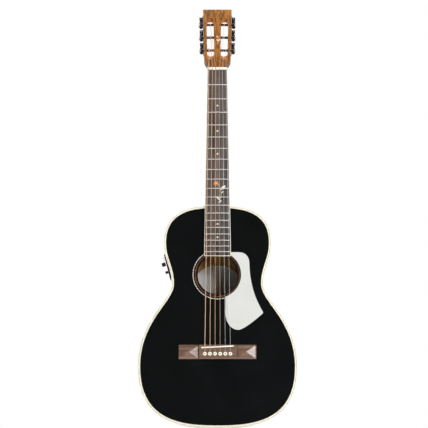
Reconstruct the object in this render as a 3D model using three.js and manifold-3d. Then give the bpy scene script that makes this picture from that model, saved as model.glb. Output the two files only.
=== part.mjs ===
// A small-bodied acoustic guitar with a twelve-fret neck, a slotted headstock and a side preamp.
// Design frame, in millimetres: x runs across to the treble side, y runs up the neck from the front
// edge of the nut, and z stands out of the soundboard, whose face is z = 0. The last group turns that
// frame upright, so that the headstock points along +Z and the soundboard faces -Y.
import * as THREE from "three";
import { mergeVertices } from "three/addons/utils/BufferGeometryUtils.js";
import Module from "manifold-3d";

const wasm = await Module();
wasm.setup();

// ---------------------------------------------------------------- driving dimensions
const GAP = 0.3; // clearance between pieces that are glued, seated or pressed together
const STRINGS = 6;

// String scale and fingerboard
const SCALE = 630; // front edge of the nut to the saddle
const BODY_FRET = 12; // the fret that stands over the body's edge
const FRETS = 19;
const BOARD_PAST_LAST_FRET = 9.5;
const BOARD_THICKNESS = 6;
const BOARD_RADIUS = 406; // crown of the fingerboard, nut and saddle
const BOARD_BINDING = 1.5;
const NUT_WIDTH = 45;
const BODY_FRET_WIDTH = 55.8; // width of the fingerboard at the body
const NUT_LENGTH = 6;
const NUT_HEIGHT = 7.6;
const FRET_WIDTH = 2.2;
const FRET_HEIGHT = 1;

// Body
const BODY_LENGTH = 489;
const UPPER_WIDTH = 239.4;
const WAIST_WIDTH = 202.8;
const LOWER_WIDTH = 348.4;
const UPPER_AT = 81.6; // distances of the three widths below the body's top edge
const WAIST_AT = 176.2;
const LOWER_AT = 355.3;
const DEPTH_AT_NECK = 97;
const DEPTH_AT_TAIL = 107;
const PLATE_THICKNESS = 3; // soundboard and back
const SIDE_THICKNESS = 2.4;
const BINDING_FACE = 5.5; // width of the top binding, with its purfling, on the soundboard
const BINDING_BACK_FACE = 2.6;
const BINDING_WALL = 2.1;
const BINDING_HEIGHT = 6.5;
const LINING_WIDTH = 6;
const LINING_DEPTH = 13;
const NECK_BLOCK = { width: 66, length: 44 };
const TAIL_BLOCK = { width: 70, length: 20 };

// Braces
const BRACE_WIDTH = 7;
const BRACE_DEPTH = 12;
const X_ANGLE = 45;
const X_PAST_HOLE = 3.4; // from the soundhole's edge to the legs of the X
const TRANSVERSE_PAST_HOLE = 30;
const BACK_BRACES_AT = [60, 205, 345]; // below the body's top edge

// Soundhole and pickguard
const HOLE_BELOW_EDGE = 155; // centre of the soundhole below the body's top edge
const HOLE_RADIUS = 44;
const ROSETTE_PAST_HOLE = 2.2;
const ROSETTE_WIDTH = 9.2;
const ROSETTE_DEPTH = 1;
const GUARD_OVER_ROSETTE = 3.4; // how far the pickguard laps over the rosette
const GUARD_THICKNESS = 1;

// Bridge
const BRIDGE_LENGTH = 169.5;
const BRIDGE_WIDTH = 30.8;
const BRIDGE_HEIGHT = 8.5;
const BRIDGE_CENTRE = 80; // length of the raised centre
const BRIDGE_WING = 2.4; // thickness of the wings round their pyramids
const PYRAMID_HEIGHT = 7;
const BRIDGE_EDGE_ABOVE_SADDLE = 4.8;
const SADDLE_LENGTH = 70.6;
const SADDLE_WIDTH = 3;
const SADDLE_SLANT = 2.9;
const SADDLE_TOP = 11.4;
const SADDLE_SEAT = 4.4; // height of the slot's floor
const PINS_BELOW_SADDLE = 15;
const STRING_SPREAD_AT_PINS = 55.5;
const STRING_SPREAD_AT_NUT = 39;
const PIN_HEAD_RADIUS = 4.2;
const PIN_RADIUS = 2.4;
const PIN_LENGTH = 20;
const BRIDGE_PLATE = { width: 140, length: 36, thickness: 2.4 };

// Neck and headstock
const NECK_DEPTH_AT_NUT = 15.5;
const NECK_DEPTH_AT_HEEL = 17.5;
const HEEL_SHORT = 9; // from the end of the heel to the level of the back
const HEEL_SWEEP = 42; // length over which the shaft turns down into the heel
const HEEL_TOE = 24; // length of the heel's flat end
const HEEL_END_WIDTH = 24;
const HEEL_CAP_THICKNESS = 3;
const TRUSS_ROD = { width: 5, depth: 7, length: 330 };
const HEAD_TILT = 14;
const HEAD_LENGTH = 158;
const HEAD_THICKNESS = 16;
const VENEER_THICKNESS = 2.2;
const SHOULDER_WIDTH = 61;
const SHOULDER_LENGTH = 26;
const HEAD_TOP_WIDTH = 67;
const SLOT_WIDTH = 16.3;
const SLOT_START = 21; // where the ramp that lets the strings down begins
const SLOT_END = 135;
const RAMP_LENGTH = 16;
const RAMP_DEPTH = 10;
const SLOT_CENTRE_AT_START = 15;
const SLOT_CENTRE_AT_END = 17;

// Tuning machines
const ROLLERS_AT = [50, 85, 120]; // along the headstock from the back edge of the nut
const ROLLER_DEPTH = 5.1; // axis below the core's face
const ROLLER_RADIUS = 3.1;
const ROLLER_SHAFT_RADIUS = 2.3;
const ROLLER_WEB_DEPTH = 3; // how far the inner end sits in the middle web
const PLATE = { thickness: 1.2, width: 13, before: 12, after: 22 };
const GEAR_RADIUS = 8.6;
const GEAR_WIDTH = 4.6;
const GEAR_TEETH = 14;
const WORM_RADIUS = 3.6;
const WORM_LENGTH = 9;
const WORM_SHAFT_RADIUS = 1.8;
const POST_THICKNESS = 2.4;
const BUTTON = { radius: 7.5, flatness: 0.7, length: 17 };
const BUTTON_NECK = 4.2;

// Preamp
const PREAMP_AT = 131.5; // middle of the panel below the body's top edge
const PANEL = { length: 56, width: 38, thickness: 2.6 };
const HOUSING = { length: 46, width: 30, depth: 28 };
const KNOBS = [
  { name: "preamp_volume_knob", along: 8.5, radius: 4.5, height: 8.7 },
  { name: "preamp_tone_knob", along: -10.5, radius: 3, height: 6.4 },
];

// End pin
const END_PIN_RADIUS = 4.5;
const END_PIN_HEAD = { radius: 6.5, length: 9 };

const STRING_RADII = [0.68, 0.54, 0.41, 0.31, 0.21, 0.16]; // bass to treble
const BALL_RADIUS = 2;

// ---------------------------------------------------------------- derived places
const BODY_TOP = -fretAt(BODY_FRET);
const BODY_BOTTOM = BODY_TOP - BODY_LENGTH;
const BOARD_END = -fretAt(FRETS) - BOARD_PAST_LAST_FRET;
const HOLE_Y = BODY_TOP - HOLE_BELOW_EDGE;
const ROSETTE_INNER = HOLE_RADIUS + ROSETTE_PAST_HOLE;
const ROSETTE_OUTER = ROSETTE_INNER + ROSETTE_WIDTH;
const GUARD_RADIUS = ROSETTE_OUTER - GUARD_OVER_ROSETTE;
const X_BELOW_HOLE =
  (HOLE_RADIUS + X_PAST_HOLE + BRACE_WIDTH / 2) / Math.sin(THREE.MathUtils.degToRad(X_ANGLE));
const HEEL_DEPTH = DEPTH_AT_NECK - HEEL_SHORT;
const SADDLE_Y = -SCALE;
const PINS_Y = SADDLE_Y - PINS_BELOW_SADDLE;
const STRING_HOLE_Y = PINS_Y + PIN_HEAD_RADIUS + GAP + STRING_RADII[0];
const BRIDGE_Y = SADDLE_Y + BRIDGE_EDGE_ABOVE_SADDLE - BRIDGE_WIDTH / 2;
const INSIDE_WALL = SIDE_THICKNESS + GAP;
const INSIDE_LINING = INSIDE_WALL + LINING_WIDTH + GAP;
const UNDER_TOP = -(PLATE_THICKNESS + GAP);
const HEEL_END_Y = BODY_TOP + GAP;
const SIDE_TAPER = Math.atan2(
  (HEAD_TOP_WIDTH - SHOULDER_WIDTH) / 2,
  HEAD_LENGTH - SHOULDER_LENGTH,
);
// The wall hanger's fork carries the guitar under the headstock's shoulders.
const HANGER = new THREE.Vector3(0, NUT_LENGTH + SHOULDER_LENGTH / 2, -NECK_DEPTH_AT_NUT);

function fretAt(number) {
  return SCALE * (1 - 2 ** (-number / 12));
}

function boardHalfWidth(y) {
  const slope = (BODY_FRET_WIDTH - NUT_WIDTH) / fretAt(BODY_FRET);
  return (NUT_WIDTH - slope * y) / 2;
}

function crown(x) {
  return -(x * x) / (2 * BOARD_RADIUS);
}

function backFace(y) {
  const share = (BODY_TOP - y) / BODY_LENGTH;
  return -(DEPTH_AT_NECK + (DEPTH_AT_TAIL - DEPTH_AT_NECK) * share);
}

function stringX(index, spread) {
  return spread * (index / (STRINGS - 1) - 0.5);
}

// ---------------------------------------------------------------- solid tools
function facingOut(geometry) {
  const merged = geometry.clone();
  merged.deleteAttribute("normal");
  merged.deleteAttribute("uv");
  const closed = mergeVertices(merged, 1e-4);
  const at = closed.attributes.position;
  const index = closed.index.array;
  const [a, b, c] = [new THREE.Vector3(), new THREE.Vector3(), new THREE.Vector3()];
  let volume = 0;
  for (let i = 0; i < index.length; i += 3) {
    a.fromBufferAttribute(at, index[i]);
    b.fromBufferAttribute(at, index[i + 1]);
    c.fromBufferAttribute(at, index[i + 2]);
    volume += a.dot(b.cross(c));
  }
  if (volume < 0) {
    for (let i = 0; i < index.length; i += 3) {
      [index[i + 1], index[i + 2]] = [index[i + 2], index[i + 1]];
    }
  }
  return closed;
}

function toSolid(geometry) {
  const closed = facingOut(geometry);
  return new wasm.Manifold(
    new wasm.Mesh({
      numProp: 3,
      vertProperties: closed.attributes.position.array,
      triVerts: new Uint32Array(closed.index.array),
    }),
  );
}

function toGeometry(solid) {
  const mesh = solid.getMesh();
  const geometry = new THREE.BufferGeometry();
  geometry.setAttribute("position", new THREE.BufferAttribute(mesh.vertProperties, 3));
  geometry.setIndex(new THREE.BufferAttribute(mesh.triVerts, 1));
  return geometry;
}

function cut(geometry, ...tools) {
  return toGeometry(tools.reduce((solid, tool) => solid.subtract(toSolid(tool)), toSolid(geometry)));
}

function join(geometry, ...others) {
  return toGeometry(others.reduce((solid, other) => solid.add(toSolid(other)), toSolid(geometry)));
}

function common(geometry, other) {
  return toGeometry(toSolid(geometry).intersect(toSolid(other)));
}

function meshOf(points, faces) {
  const geometry = new THREE.BufferGeometry();
  const flat = points.flatMap((point) => [point.x, point.y, point.z]);
  geometry.setAttribute("position", new THREE.Float32BufferAttribute(flat, 3));
  geometry.setIndex(faces.flat());
  return facingOut(geometry);
}

// A skin over rings of points. Open ends are closed by a fan round their middle.
function loft(rings, closed = false) {
  const count = rings[0].length;
  const points = rings.flat();
  const faces = [];
  const spans = closed ? rings.length : rings.length - 1;
  for (let i = 0; i < spans; i++) {
    const here = i * count;
    const next = ((i + 1) % rings.length) * count;
    for (let j = 0; j < count; j++) {
      const k = (j + 1) % count;
      faces.push([here + j, next + j, next + k], [here + j, next + k, here + k]);
    }
  }
  if (!closed) {
    [
      [0, false],
      [rings.length - 1, true],
    ].forEach(([ring, last]) => {
      const middle = new THREE.Vector3();
      rings[ring].forEach((point) => middle.addScaledVector(point, 1 / count));
      points.push(middle);
      for (let j = 0; j < count; j++) {
        const edge = [ring * count + j, ring * count + ((j + 1) % count)];
        faces.push(last ? [edge[1], edge[0], points.length - 1] : [...edge, points.length - 1]);
      }
    });
  }
  return meshOf(points, faces);
}

function prism(shape, from, to, curveSegments = 8) {
  const geometry = new THREE.ExtrudeGeometry(shape, {
    depth: to - from,
    bevelEnabled: false,
    curveSegments,
  });
  return geometry.translate(0, 0, from);
}

function polygon(points) {
  return new THREE.Shape(points.map(([x, y]) => new THREE.Vector2(x, y)));
}

function box(from, to) {
  const low = new THREE.Vector3(...from);
  const size = new THREE.Vector3(...to).sub(low);
  const centre = size.clone().multiplyScalar(0.5).add(low);
  return new THREE.BoxGeometry(size.x, size.y, size.z).translate(centre.x, centre.y, centre.z);
}

function disc(radius, from, to, segments = 12) {
  const geometry = new THREE.CylinderGeometry(radius, radius, to - from, segments);
  return geometry.translate(0, (from + to) / 2, 0); // its axis is y
}

function turned(profile, segments = 12) {
  return new THREE.LatheGeometry(
    profile.map(([radius, height]) => new THREE.Vector2(radius, height)),
    segments,
  );
}

// ---------------------------------------------------------------- body outline
// Half of the outline, from the middle of the top edge to the middle of the bottom edge.
const halfOutline = (() => {
  const [upper, waist, lower] = [UPPER_WIDTH / 2, WAIST_WIDTH / 2, LOWER_WIDTH / 2];
  const fall = WAIST_AT - UPPER_AT;
  const rise = LOWER_AT - WAIST_AT;
  const tail = BODY_LENGTH - LOWER_AT;
  const at = (x, below) => new THREE.Vector2(x, BODY_TOP - below);
  // Each curve: its steps, then its start, the two points that pull it, and its end.
  const top = at(0, 0);
  const shoulder = at(upper, UPPER_AT);
  const middle = at(waist, WAIST_AT);
  const widest = at(lower, LOWER_AT);
  const bottom = at(0, BODY_LENGTH);
  const curves = [
    [11, top, at(0.223 * upper, 0), at(upper, -0.067 * UPPER_AT), shoulder],
    [6, shoulder, at(upper, UPPER_AT + 0.416 * fall), at(waist, WAIST_AT - 0.394 * fall), middle],
    [8, middle, at(waist, WAIST_AT + 0.2 * rise), at(lower, LOWER_AT - 0.556 * rise), widest],
    [12, widest, at(lower, LOWER_AT + 0.966 * tail), at(0.397 * lower, BODY_LENGTH), bottom],
  ];
  const stations = [];
  curves.forEach(([steps, ...places], which) => {
    const curve = new THREE.CubicBezierCurve(...places);
    for (let i = which === 0 ? 0 : 1; i <= steps; i++) {
      const point = curve.getPointAt(i / steps);
      const along = curve.getTangentAt(i / steps);
      stations.push({ x: point.x, y: point.y, inX: along.y, inY: -along.x });
    }
  });
  return stations;
})();

const mirrored = (station) => ({ ...station, x: -station.x, inX: -station.inX });
const fullOutline = [...halfOutline, ...halfOutline.slice(1, -1).reverse().map(mirrored)];

function insetPoint(station, inset) {
  return new THREE.Vector2(station.x + station.inX * inset, station.y + station.inY * inset);
}

// A strip that follows the outline. Each corner of its section is an inset and a height over y.
function strip(stations, section, closed) {
  const rings = stations.map((station) =>
    section.map(([inset, height]) => {
      const point = insetPoint(station, inset);
      return new THREE.Vector3(point.x, point.y, height(point.y));
    }),
  );
  return loft(rings, closed);
}

// The whole outline as a plate or block between two heights over y.
function bodySlice(inset, bottom, top) {
  const rim = fullOutline.map((station) => insetPoint(station, inset)).reverse();
  const count = rim.length;
  const points = [bottom, top].flatMap((height) =>
    rim.map((point) => new THREE.Vector3(point.x, point.y, height(point.y))),
  );
  const faces = THREE.ShapeUtils.triangulateShape(rim, []).flatMap(([a, b, c]) => [
    [c, b, a],
    [a + count, b + count, c + count],
  ]);
  rim.forEach((_, i) => {
    const next = (i + 1) % count;
    faces.push([i, next, next + count], [i, next + count, i + count]);
  });
  return meshOf(points, faces);
}

const level = (z) => () => z;
const overBack = (rise) => (y) => backFace(y) + rise;

// Half-width of the body at a distance below its top edge.
function bodyHalfWidth(below) {
  const y = BODY_TOP - below;
  const after = halfOutline.findIndex((station) => station.y < y);
  const [a, b] = [halfOutline[after - 1], halfOutline[after]];
  return a.x + ((b.x - a.x) * (a.y - y)) / (a.y - b.y);
}

// ---------------------------------------------------------------- materials
const finish = (color, roughness, metalness = 0) =>
  new THREE.MeshStandardMaterial({ color, roughness, metalness });
const FINISH = {
  blackGloss: finish(0x141617, 0.16),
  cream: finish(0xe6dcc3, 0.35),
  spruce: finish(0xd9b98a, 0.7),
  mahogany: finish(0x7a4427, 0.5),
  rosewood: finish(0x3c2c27, 0.5),
  bridgeWood: finish(0x8a5d52, 0.45),
  amberWood: finish(0xb06a1c, 0.18),
  tortoise: finish(0x6a3a1e, 0.25),
  white: finish(0xe8e8e3, 0.3),
  bone: finish(0xf3efe4, 0.35),
  blackPlastic: finish(0x17181a, 0.35),
  blackMetal: finish(0x1b1c1e, 0.35, 0.8),
  nickel: finish(0xb9b4a8, 0.3, 1),
  steel: finish(0xa9a9a8, 0.35, 1),
  bronze: finish(0xb98a55, 0.35, 1),
};

function place(parent, name, geometry, material) {
  const mesh = new THREE.Mesh(geometry, material);
  mesh.name = name;
  parent.add(mesh);
  return mesh;
}

// ---------------------------------------------------------------- shared cutters
// The preamp panel lies on the bass side, along the chord of the outline behind it, out where the
// side bulges most. Inside this group, -x points out of the guitar and y runs up its side.
function panelFrame() {
  const group = new THREE.Group();
  const ends = [-PANEL.length / 2, PANEL.length / 2].map((step) => PREAMP_AT + step);
  const [upper, lower] = ends.map((below) => new THREE.Vector2(-bodyHalfWidth(below), BODY_TOP - below));
  const along = upper.clone().sub(lower).normalize();
  const out = new THREE.Vector2(-along.y, along.x);
  const behind = halfOutline.filter(({ y }) => y < upper.y && y > lower.y);
  const heights = behind.map(({ x, y }) => new THREE.Vector2(-x, y).sub(upper).dot(out));
  const bulge = Math.max(0, ...heights);
  const middle = upper.clone().add(lower).multiplyScalar(0.5).addScaledVector(out, bulge);
  group.position.set(middle.x, middle.y, backFace(middle.y) / 2);
  group.rotation.z = Math.atan2(-along.x, along.y);
  group.updateMatrixWorld(true);
  return group;
}
const panelGroup = panelFrame();

function housingBlock(clearance) {
  const [l, w] = [HOUSING.length / 2 + clearance, HOUSING.width / 2 + clearance];
  return box([-GAP - clearance, -l, -w], [HOUSING.depth + clearance, l, w]);
}

function pinHoles(from, to) {
  const reach = STRING_HOLE_Y + STRING_RADII[0] + GAP - PINS_Y;
  return STRING_RADII.map((radius, index) => {
    const x = stringX(index, STRING_SPREAD_AT_PINS);
    const round = disc(PIN_RADIUS + GAP, from, to).rotateX(Math.PI / 2);
    const slot = box([-STRING_RADII[0] - GAP, 0, from], [STRING_RADII[0] + GAP, reach, to]);
    return join(round, slot).translate(x, PINS_Y, 0);
  });
}

const endPinZ = backFace(BODY_BOTTOM) / 2;
const endPinHole = disc(END_PIN_RADIUS + GAP, -TAIL_BLOCK.length - 20, 20, 16);
endPinHole.translate(0, BODY_BOTTOM, endPinZ);

// ---------------------------------------------------------------- body shell
function bodyShell(parent) {
  const hole = disc(HOLE_RADIUS, -30, 30, 40).rotateX(Math.PI / 2).translate(0, HOLE_Y, 0);
  const grooveShape = new THREE.Shape().absarc(0, HOLE_Y, ROSETTE_OUTER + GAP, 0, 2 * Math.PI);
  grooveShape.holes.push(new THREE.Path().absarc(0, HOLE_Y, ROSETTE_INNER - GAP, 0, 2 * Math.PI));
  const groove = prism(grooveShape, -ROSETTE_DEPTH - GAP, GAP, 20);
  const board = bodySlice(BINDING_FACE + GAP, level(-PLATE_THICKNESS), level(0));
  place(parent, "soundboard", cut(board, hole, groove, ...pinHoles(-30, 30)), FINISH.blackGloss);

  const back = bodySlice(BINDING_BACK_FACE + GAP, overBack(0), overBack(PLATE_THICKNESS));
  place(parent, "back_plate", back, FINISH.blackGloss);

  const topBinding = [
    [0, level(0)],
    [BINDING_FACE, level(0)],
    [BINDING_FACE, level(-PLATE_THICKNESS)],
    [BINDING_WALL, level(-PLATE_THICKNESS)],
    [BINDING_WALL, level(-BINDING_HEIGHT)],
    [0, level(-BINDING_HEIGHT)],
  ];
  place(parent, "top_binding", strip(fullOutline, topBinding, true), FINISH.cream);
  const backBinding = [
    [0, overBack(0)],
    [BINDING_BACK_FACE, overBack(0)],
    [BINDING_BACK_FACE, overBack(PLATE_THICKNESS)],
    [BINDING_WALL, overBack(PLATE_THICKNESS)],
    [BINDING_WALL, overBack(BINDING_HEIGHT)],
    [0, overBack(BINDING_HEIGHT)],
  ];
  place(parent, "back_binding", strip(fullOutline, backBinding, true), FINISH.cream);

  const wall = [
    [0, level(-BINDING_HEIGHT - GAP)],
    [SIDE_THICKNESS, level(-BINDING_HEIGHT - GAP)],
    [SIDE_THICKNESS, overBack(BINDING_HEIGHT + GAP)],
    [0, overBack(BINDING_HEIGHT + GAP)],
  ];
  const window = housingBlock(GAP);
  window.applyMatrix4(panelGroup.matrixWorld);
  const halfSeam = GAP / 2;
  const treble = strip(halfOutline, wall, false).translate(halfSeam, 0, 0);
  const bass = strip(halfOutline.map(mirrored), wall, false).translate(-halfSeam, 0, 0);
  place(parent, "treble_side", cut(treble, endPinHole), FINISH.blackGloss);
  place(parent, "bass_side", cut(bass, endPinHole, window), FINISH.blackGloss);
}

// ---------------------------------------------------------------- blocks, linings and braces
function blocks(parent) {
  const inside = bodySlice(INSIDE_WALL, overBack(PLATE_THICKNESS + GAP), level(UNDER_TOP));
  const neckHalf = NECK_BLOCK.width / 2;
  const tailHalf = TAIL_BLOCK.width / 2;
  const deep = -2 * DEPTH_AT_TAIL;
  const neckBox = box([-neckHalf, BODY_TOP - NECK_BLOCK.length, deep], [neckHalf, BODY_TOP, 0]);
  const tailBox = box([-tailHalf, BODY_BOTTOM, deep], [tailHalf, BODY_BOTTOM + TAIL_BLOCK.length, 0]);
  place(parent, "neck_block", common(inside, neckBox), FINISH.mahogany);
  place(parent, "tail_block", cut(common(inside, tailBox), endPinHole), FINISH.mahogany);

  const clearNeck = box(
    [-neckHalf - GAP, BODY_TOP - NECK_BLOCK.length, deep],
    [neckHalf + GAP, BODY_TOP + 10, 10],
  );
  const clearTail = box(
    [-tailHalf - GAP, BODY_BOTTOM - 10, deep],
    [tailHalf + GAP, BODY_BOTTOM + TAIL_BLOCK.length, 10],
  );
  const outer = INSIDE_WALL;
  const inner = INSIDE_WALL + LINING_WIDTH;
  const sections = {
    top: [
      [outer, level(UNDER_TOP)],
      [inner, level(UNDER_TOP)],
      [outer, level(UNDER_TOP - LINING_DEPTH)],
    ],
    back: [
      [outer, overBack(PLATE_THICKNESS + GAP)],
      [inner, overBack(PLATE_THICKNESS + GAP)],
      [outer, overBack(PLATE_THICKNESS + GAP + LINING_DEPTH)],
    ],
  };
  Object.entries(sections).forEach(([edge, section]) => {
    const treble = strip(halfOutline, section, false);
    const bass = strip(halfOutline.map(mirrored), section, false);
    place(parent, `${edge}_lining_treble`, cut(treble, clearNeck, clearTail), FINISH.mahogany);
    place(parent, `${edge}_lining_bass`, cut(bass, clearNeck, clearTail), FINISH.mahogany);
  });
}

function braces(parent) {
  const underTop = bodySlice(INSIDE_LINING, level(UNDER_TOP - BRACE_DEPTH), level(UNDER_TOP));
  const reach = BODY_LENGTH;
  const bar = (width, low, high) => box([-reach, -width / 2, low], [reach, width / 2, high]);
  const crossed = (geometry, turn) =>
    geometry.rotateZ(THREE.MathUtils.degToRad(turn)).translate(0, HOLE_Y - X_BELOW_HOLE, 0);
  const low = UNDER_TOP - BRACE_DEPTH - 1;
  const middle = UNDER_TOP - BRACE_DEPTH / 2;
  const lap = BRACE_WIDTH + 2 * GAP;
  const first = common(underTop, crossed(bar(BRACE_WIDTH, low, 0), X_ANGLE));
  const second = common(underTop, crossed(bar(BRACE_WIDTH, low, 0), -X_ANGLE));
  const lowerNotch = crossed(bar(lap, low - 1, middle + GAP / 2), -X_ANGLE);
  const upperNotch = crossed(bar(lap, middle - GAP / 2, 1), X_ANGLE);
  place(parent, "x_brace_upper", cut(first, lowerNotch), FINISH.spruce);
  place(parent, "x_brace_lower", cut(second, upperNotch), FINISH.spruce);

  const transverse = bar(BRACE_WIDTH + 2, low, 0);
  transverse.translate(0, HOLE_Y + HOLE_RADIUS + TRANSVERSE_PAST_HOLE, 0);
  place(parent, "transverse_brace", common(underTop, transverse), FINISH.spruce);

  const foot = PLATE_THICKNESS + GAP;
  const overTheBack = bodySlice(INSIDE_LINING, overBack(foot), overBack(foot + BRACE_DEPTH));
  BACK_BRACES_AT.forEach((below, index) => {
    const crossbar = bar(BRACE_WIDTH + 1, -2 * DEPTH_AT_TAIL, 0).translate(0, BODY_TOP - below, 0);
    place(parent, `back_brace_${index + 1}`, common(overTheBack, crossbar), FINISH.spruce);
  });

  const half = BRIDGE_PLATE.width / 2;
  const top = BRIDGE_Y + BRIDGE_PLATE.length / 2;
  const plate = box(
    [-half, top - BRIDGE_PLATE.length, UNDER_TOP - BRIDGE_PLATE.thickness],
    [half, top, UNDER_TOP],
  );
  // The plate's upper corners give way to the legs of the X where they come that far down.
  const pastLegs = [X_ANGLE, -X_ANGLE].map((turn) =>
    crossed(box([-reach, -lap / 2, low - 1], [reach, reach, 1]), turn),
  );
  place(parent, "bridge_plate", cut(plate, ...pastLegs, ...pinHoles(-30, 30)), FINISH.rosewood);
}

// ---------------------------------------------------------------- rosette and pickguard
function trim(parent) {
  const ring = new THREE.Shape().absarc(0, HOLE_Y, ROSETTE_OUTER, 0, 2 * Math.PI);
  ring.holes.push(new THREE.Path().absarc(0, HOLE_Y, ROSETTE_INNER, 0, 2 * Math.PI));
  place(parent, "rosette", prism(ring, -ROSETTE_DEPTH, 0, 20), FINISH.tortoise);

  // The teardrop guard, drawn round the centre of the soundhole.
  const top = 50;
  const inner = new THREE.Vector2(17.5, -Math.sqrt(GUARD_RADIUS ** 2 - 17.5 ** 2));
  const upper = new THREE.Vector2(12, Math.sqrt(GUARD_RADIUS ** 2 - 12 ** 2));
  const guard = new THREE.Shape();
  guard.moveTo(upper.x, upper.y);
  guard.lineTo(46, top);
  guard.bezierCurveTo(62, top, 70, 40, 70.5, 26);
  guard.bezierCurveTo(71, -8, 77, -42, 97.5, -79);
  guard.quadraticCurveTo(102, -84, 98, -87.5);
  guard.bezierCurveTo(80, -103, 64, -116, 50, -121.5);
  guard.bezierCurveTo(35, -126, 17, -110, 17, -84);
  guard.lineTo(inner.x, inner.y);
  guard.absarc(0, 0, GUARD_RADIUS, inner.angle(), upper.angle() + 2 * Math.PI, false);
  const sheet = prism(guard, GAP, GAP + GUARD_THICKNESS, 8).translate(0, HOLE_Y, 0);
  const board = boardOutline(GAP, BOARD_END - GAP);
  place(parent, "pickguard", cut(sheet, prism(board, -1, BOARD_THICKNESS)), FINISH.white);
}

// ---------------------------------------------------------------- fingerboard and nut
function boardOutline(margin, end, start = margin) {
  const [wide, narrow] = [boardHalfWidth(end) + margin, boardHalfWidth(start) + margin];
  return polygon([
    [-wide, end],
    [wide, end],
    [narrow, start],
    [-narrow, start],
  ]);
}

// Points of the crowned top over a width, from the treble edge to the bass edge.
function crownedTop(halfWidth, height, y) {
  return [1, 0.4, -0.4, -1].map((share) => {
    const x = share * halfWidth;
    return new THREE.Vector3(x, y, height + crown(x));
  });
}

function fingerboard(parent) {
  const inset = BOARD_BINDING + GAP;
  const coreEnd = BOARD_END + inset;
  const ring = (y) => {
    const half = boardHalfWidth(y) - inset;
    return [
      new THREE.Vector3(-half, y, GAP),
      new THREE.Vector3(half, y, GAP),
      ...crownedTop(half, BOARD_THICKNESS, y),
    ];
  };
  const core = loft([ring(0), ring(coreEnd)]);
  const frets = Array.from({ length: FRETS }, (_, index) => {
    const y = -fretAt(index + 1);
    const section = [
      [-FRET_WIDTH / 2, -0.5],
      [FRET_WIDTH / 2, -0.5],
      [FRET_WIDTH / 4, FRET_HEIGHT],
      [-FRET_WIDTH / 4, FRET_HEIGHT],
    ];
    const along = crownedTop(boardHalfWidth(y) - inset, BOARD_THICKNESS, y);
    return loft(
      along.map((point) => section.map(([dy, dz]) => new THREE.Vector3(point.x, point.y + dy, point.z + dz))),
    );
  });
  place(parent, "fingerboard", join(core, ...frets), FINISH.rosewood);

  const edgeHeight = BOARD_THICKNESS + crown(boardHalfWidth(BOARD_END));
  const outside = prism(boardOutline(0, BOARD_END, 0), GAP, edgeHeight);
  const inside = prism(boardOutline(-BOARD_BINDING, BOARD_END + BOARD_BINDING, 1), 0, BOARD_THICKNESS);
  place(parent, "fingerboard_binding", cut(outside, inside), FINISH.cream);

  const half = NUT_WIDTH / 2;
  const nut = loft(
    [GAP, NUT_LENGTH].map((y) => [
      new THREE.Vector3(-half, y, GAP),
      new THREE.Vector3(half, y, GAP),
      ...crownedTop(half, NUT_HEIGHT, y),
    ]),
  );
  place(parent, "nut", nut, FINISH.bone);
}

// ---------------------------------------------------------------- neck, heel and headstock
// The headstock is drawn flat, with its foot at the back edge of the nut, then tilted back.
const headGroup = new THREE.Group();
headGroup.position.set(0, NUT_LENGTH, 0);
headGroup.rotation.x = -THREE.MathUtils.degToRad(HEAD_TILT);
headGroup.updateMatrixWorld(true);

// Middle of a slot, across the headstock, at a place along it.
function slotCentre(along) {
  const share = (along - SLOT_START) / (SLOT_END - SLOT_START);
  return SLOT_CENTRE_AT_START + (SLOT_CENTRE_AT_END - SLOT_CENTRE_AT_START) * share;
}

function slotShape(side, start, end) {
  const radius = SLOT_WIDTH / 2;
  const from = new THREE.Vector2(side * slotCentre(start), start + radius);
  const to = new THREE.Vector2(side * slotCentre(end), end - radius);
  const along = to.clone().sub(from).angle();
  const shape = new THREE.Shape();
  shape.absarc(to.x, to.y, radius, along - Math.PI / 2, along + Math.PI / 2);
  shape.absarc(from.x, from.y, radius, along + Math.PI / 2, along + 1.5 * Math.PI);
  return shape;
}

// The sloped end that each slot has towards the nut.
function slotRamps() {
  const through = SLOT_START + RAMP_LENGTH;
  const top = GAP + VENEER_THICKNESS;
  const lean = RAMP_LENGTH / (top + RAMP_DEPTH);
  const sheared = new THREE.Matrix4().makeShear(0, 0, 0, 0, 0, -lean);
  return [1, -1].map((side) => {
    const short = slotShape(side, through, through + SLOT_WIDTH + RAMP_LENGTH);
    return prism(short, 0, RAMP_DEPTH + 2 * top, 6).applyMatrix4(sheared).translate(0, 0, -RAMP_DEPTH);
  });
}

function headOutline(foot) {
  const [root, shoulder, top] = [NUT_WIDTH, SHOULDER_WIDTH, HEAD_TOP_WIDTH].map((width) => width / 2);
  const bend = SHOULDER_LENGTH / 2;
  const shape = new THREE.Shape();
  shape.moveTo(-root, foot);
  shape.lineTo(root, foot);
  shape.lineTo(root, 0);
  shape.bezierCurveTo(root, bend, shoulder, bend, shoulder, SHOULDER_LENGTH);
  shape.lineTo(top, HEAD_LENGTH);
  shape.lineTo(-top, HEAD_LENGTH);
  shape.lineTo(-shoulder, SHOULDER_LENGTH);
  shape.bezierCurveTo(-shoulder, bend, -root, bend, -root, 0);
  const through = SLOT_START + RAMP_LENGTH;
  shape.holes.push(slotShape(1, through, SLOT_END), slotShape(-1, through, SLOT_END));
  return shape;
}

// Inside a tuner group, x = 0 is the headstock's edge, y runs along it and the face is z = 0.
function tunerFrame(side) {
  const group = new THREE.Group();
  group.position.set((side * SHOULDER_WIDTH) / 2, SHOULDER_LENGTH, 0);
  group.rotation.z = -side * SIDE_TAPER;
  group.updateMatrix();
  return group;
}

const rollerAlong = (station) => station - SHOULDER_LENGTH;

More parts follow.
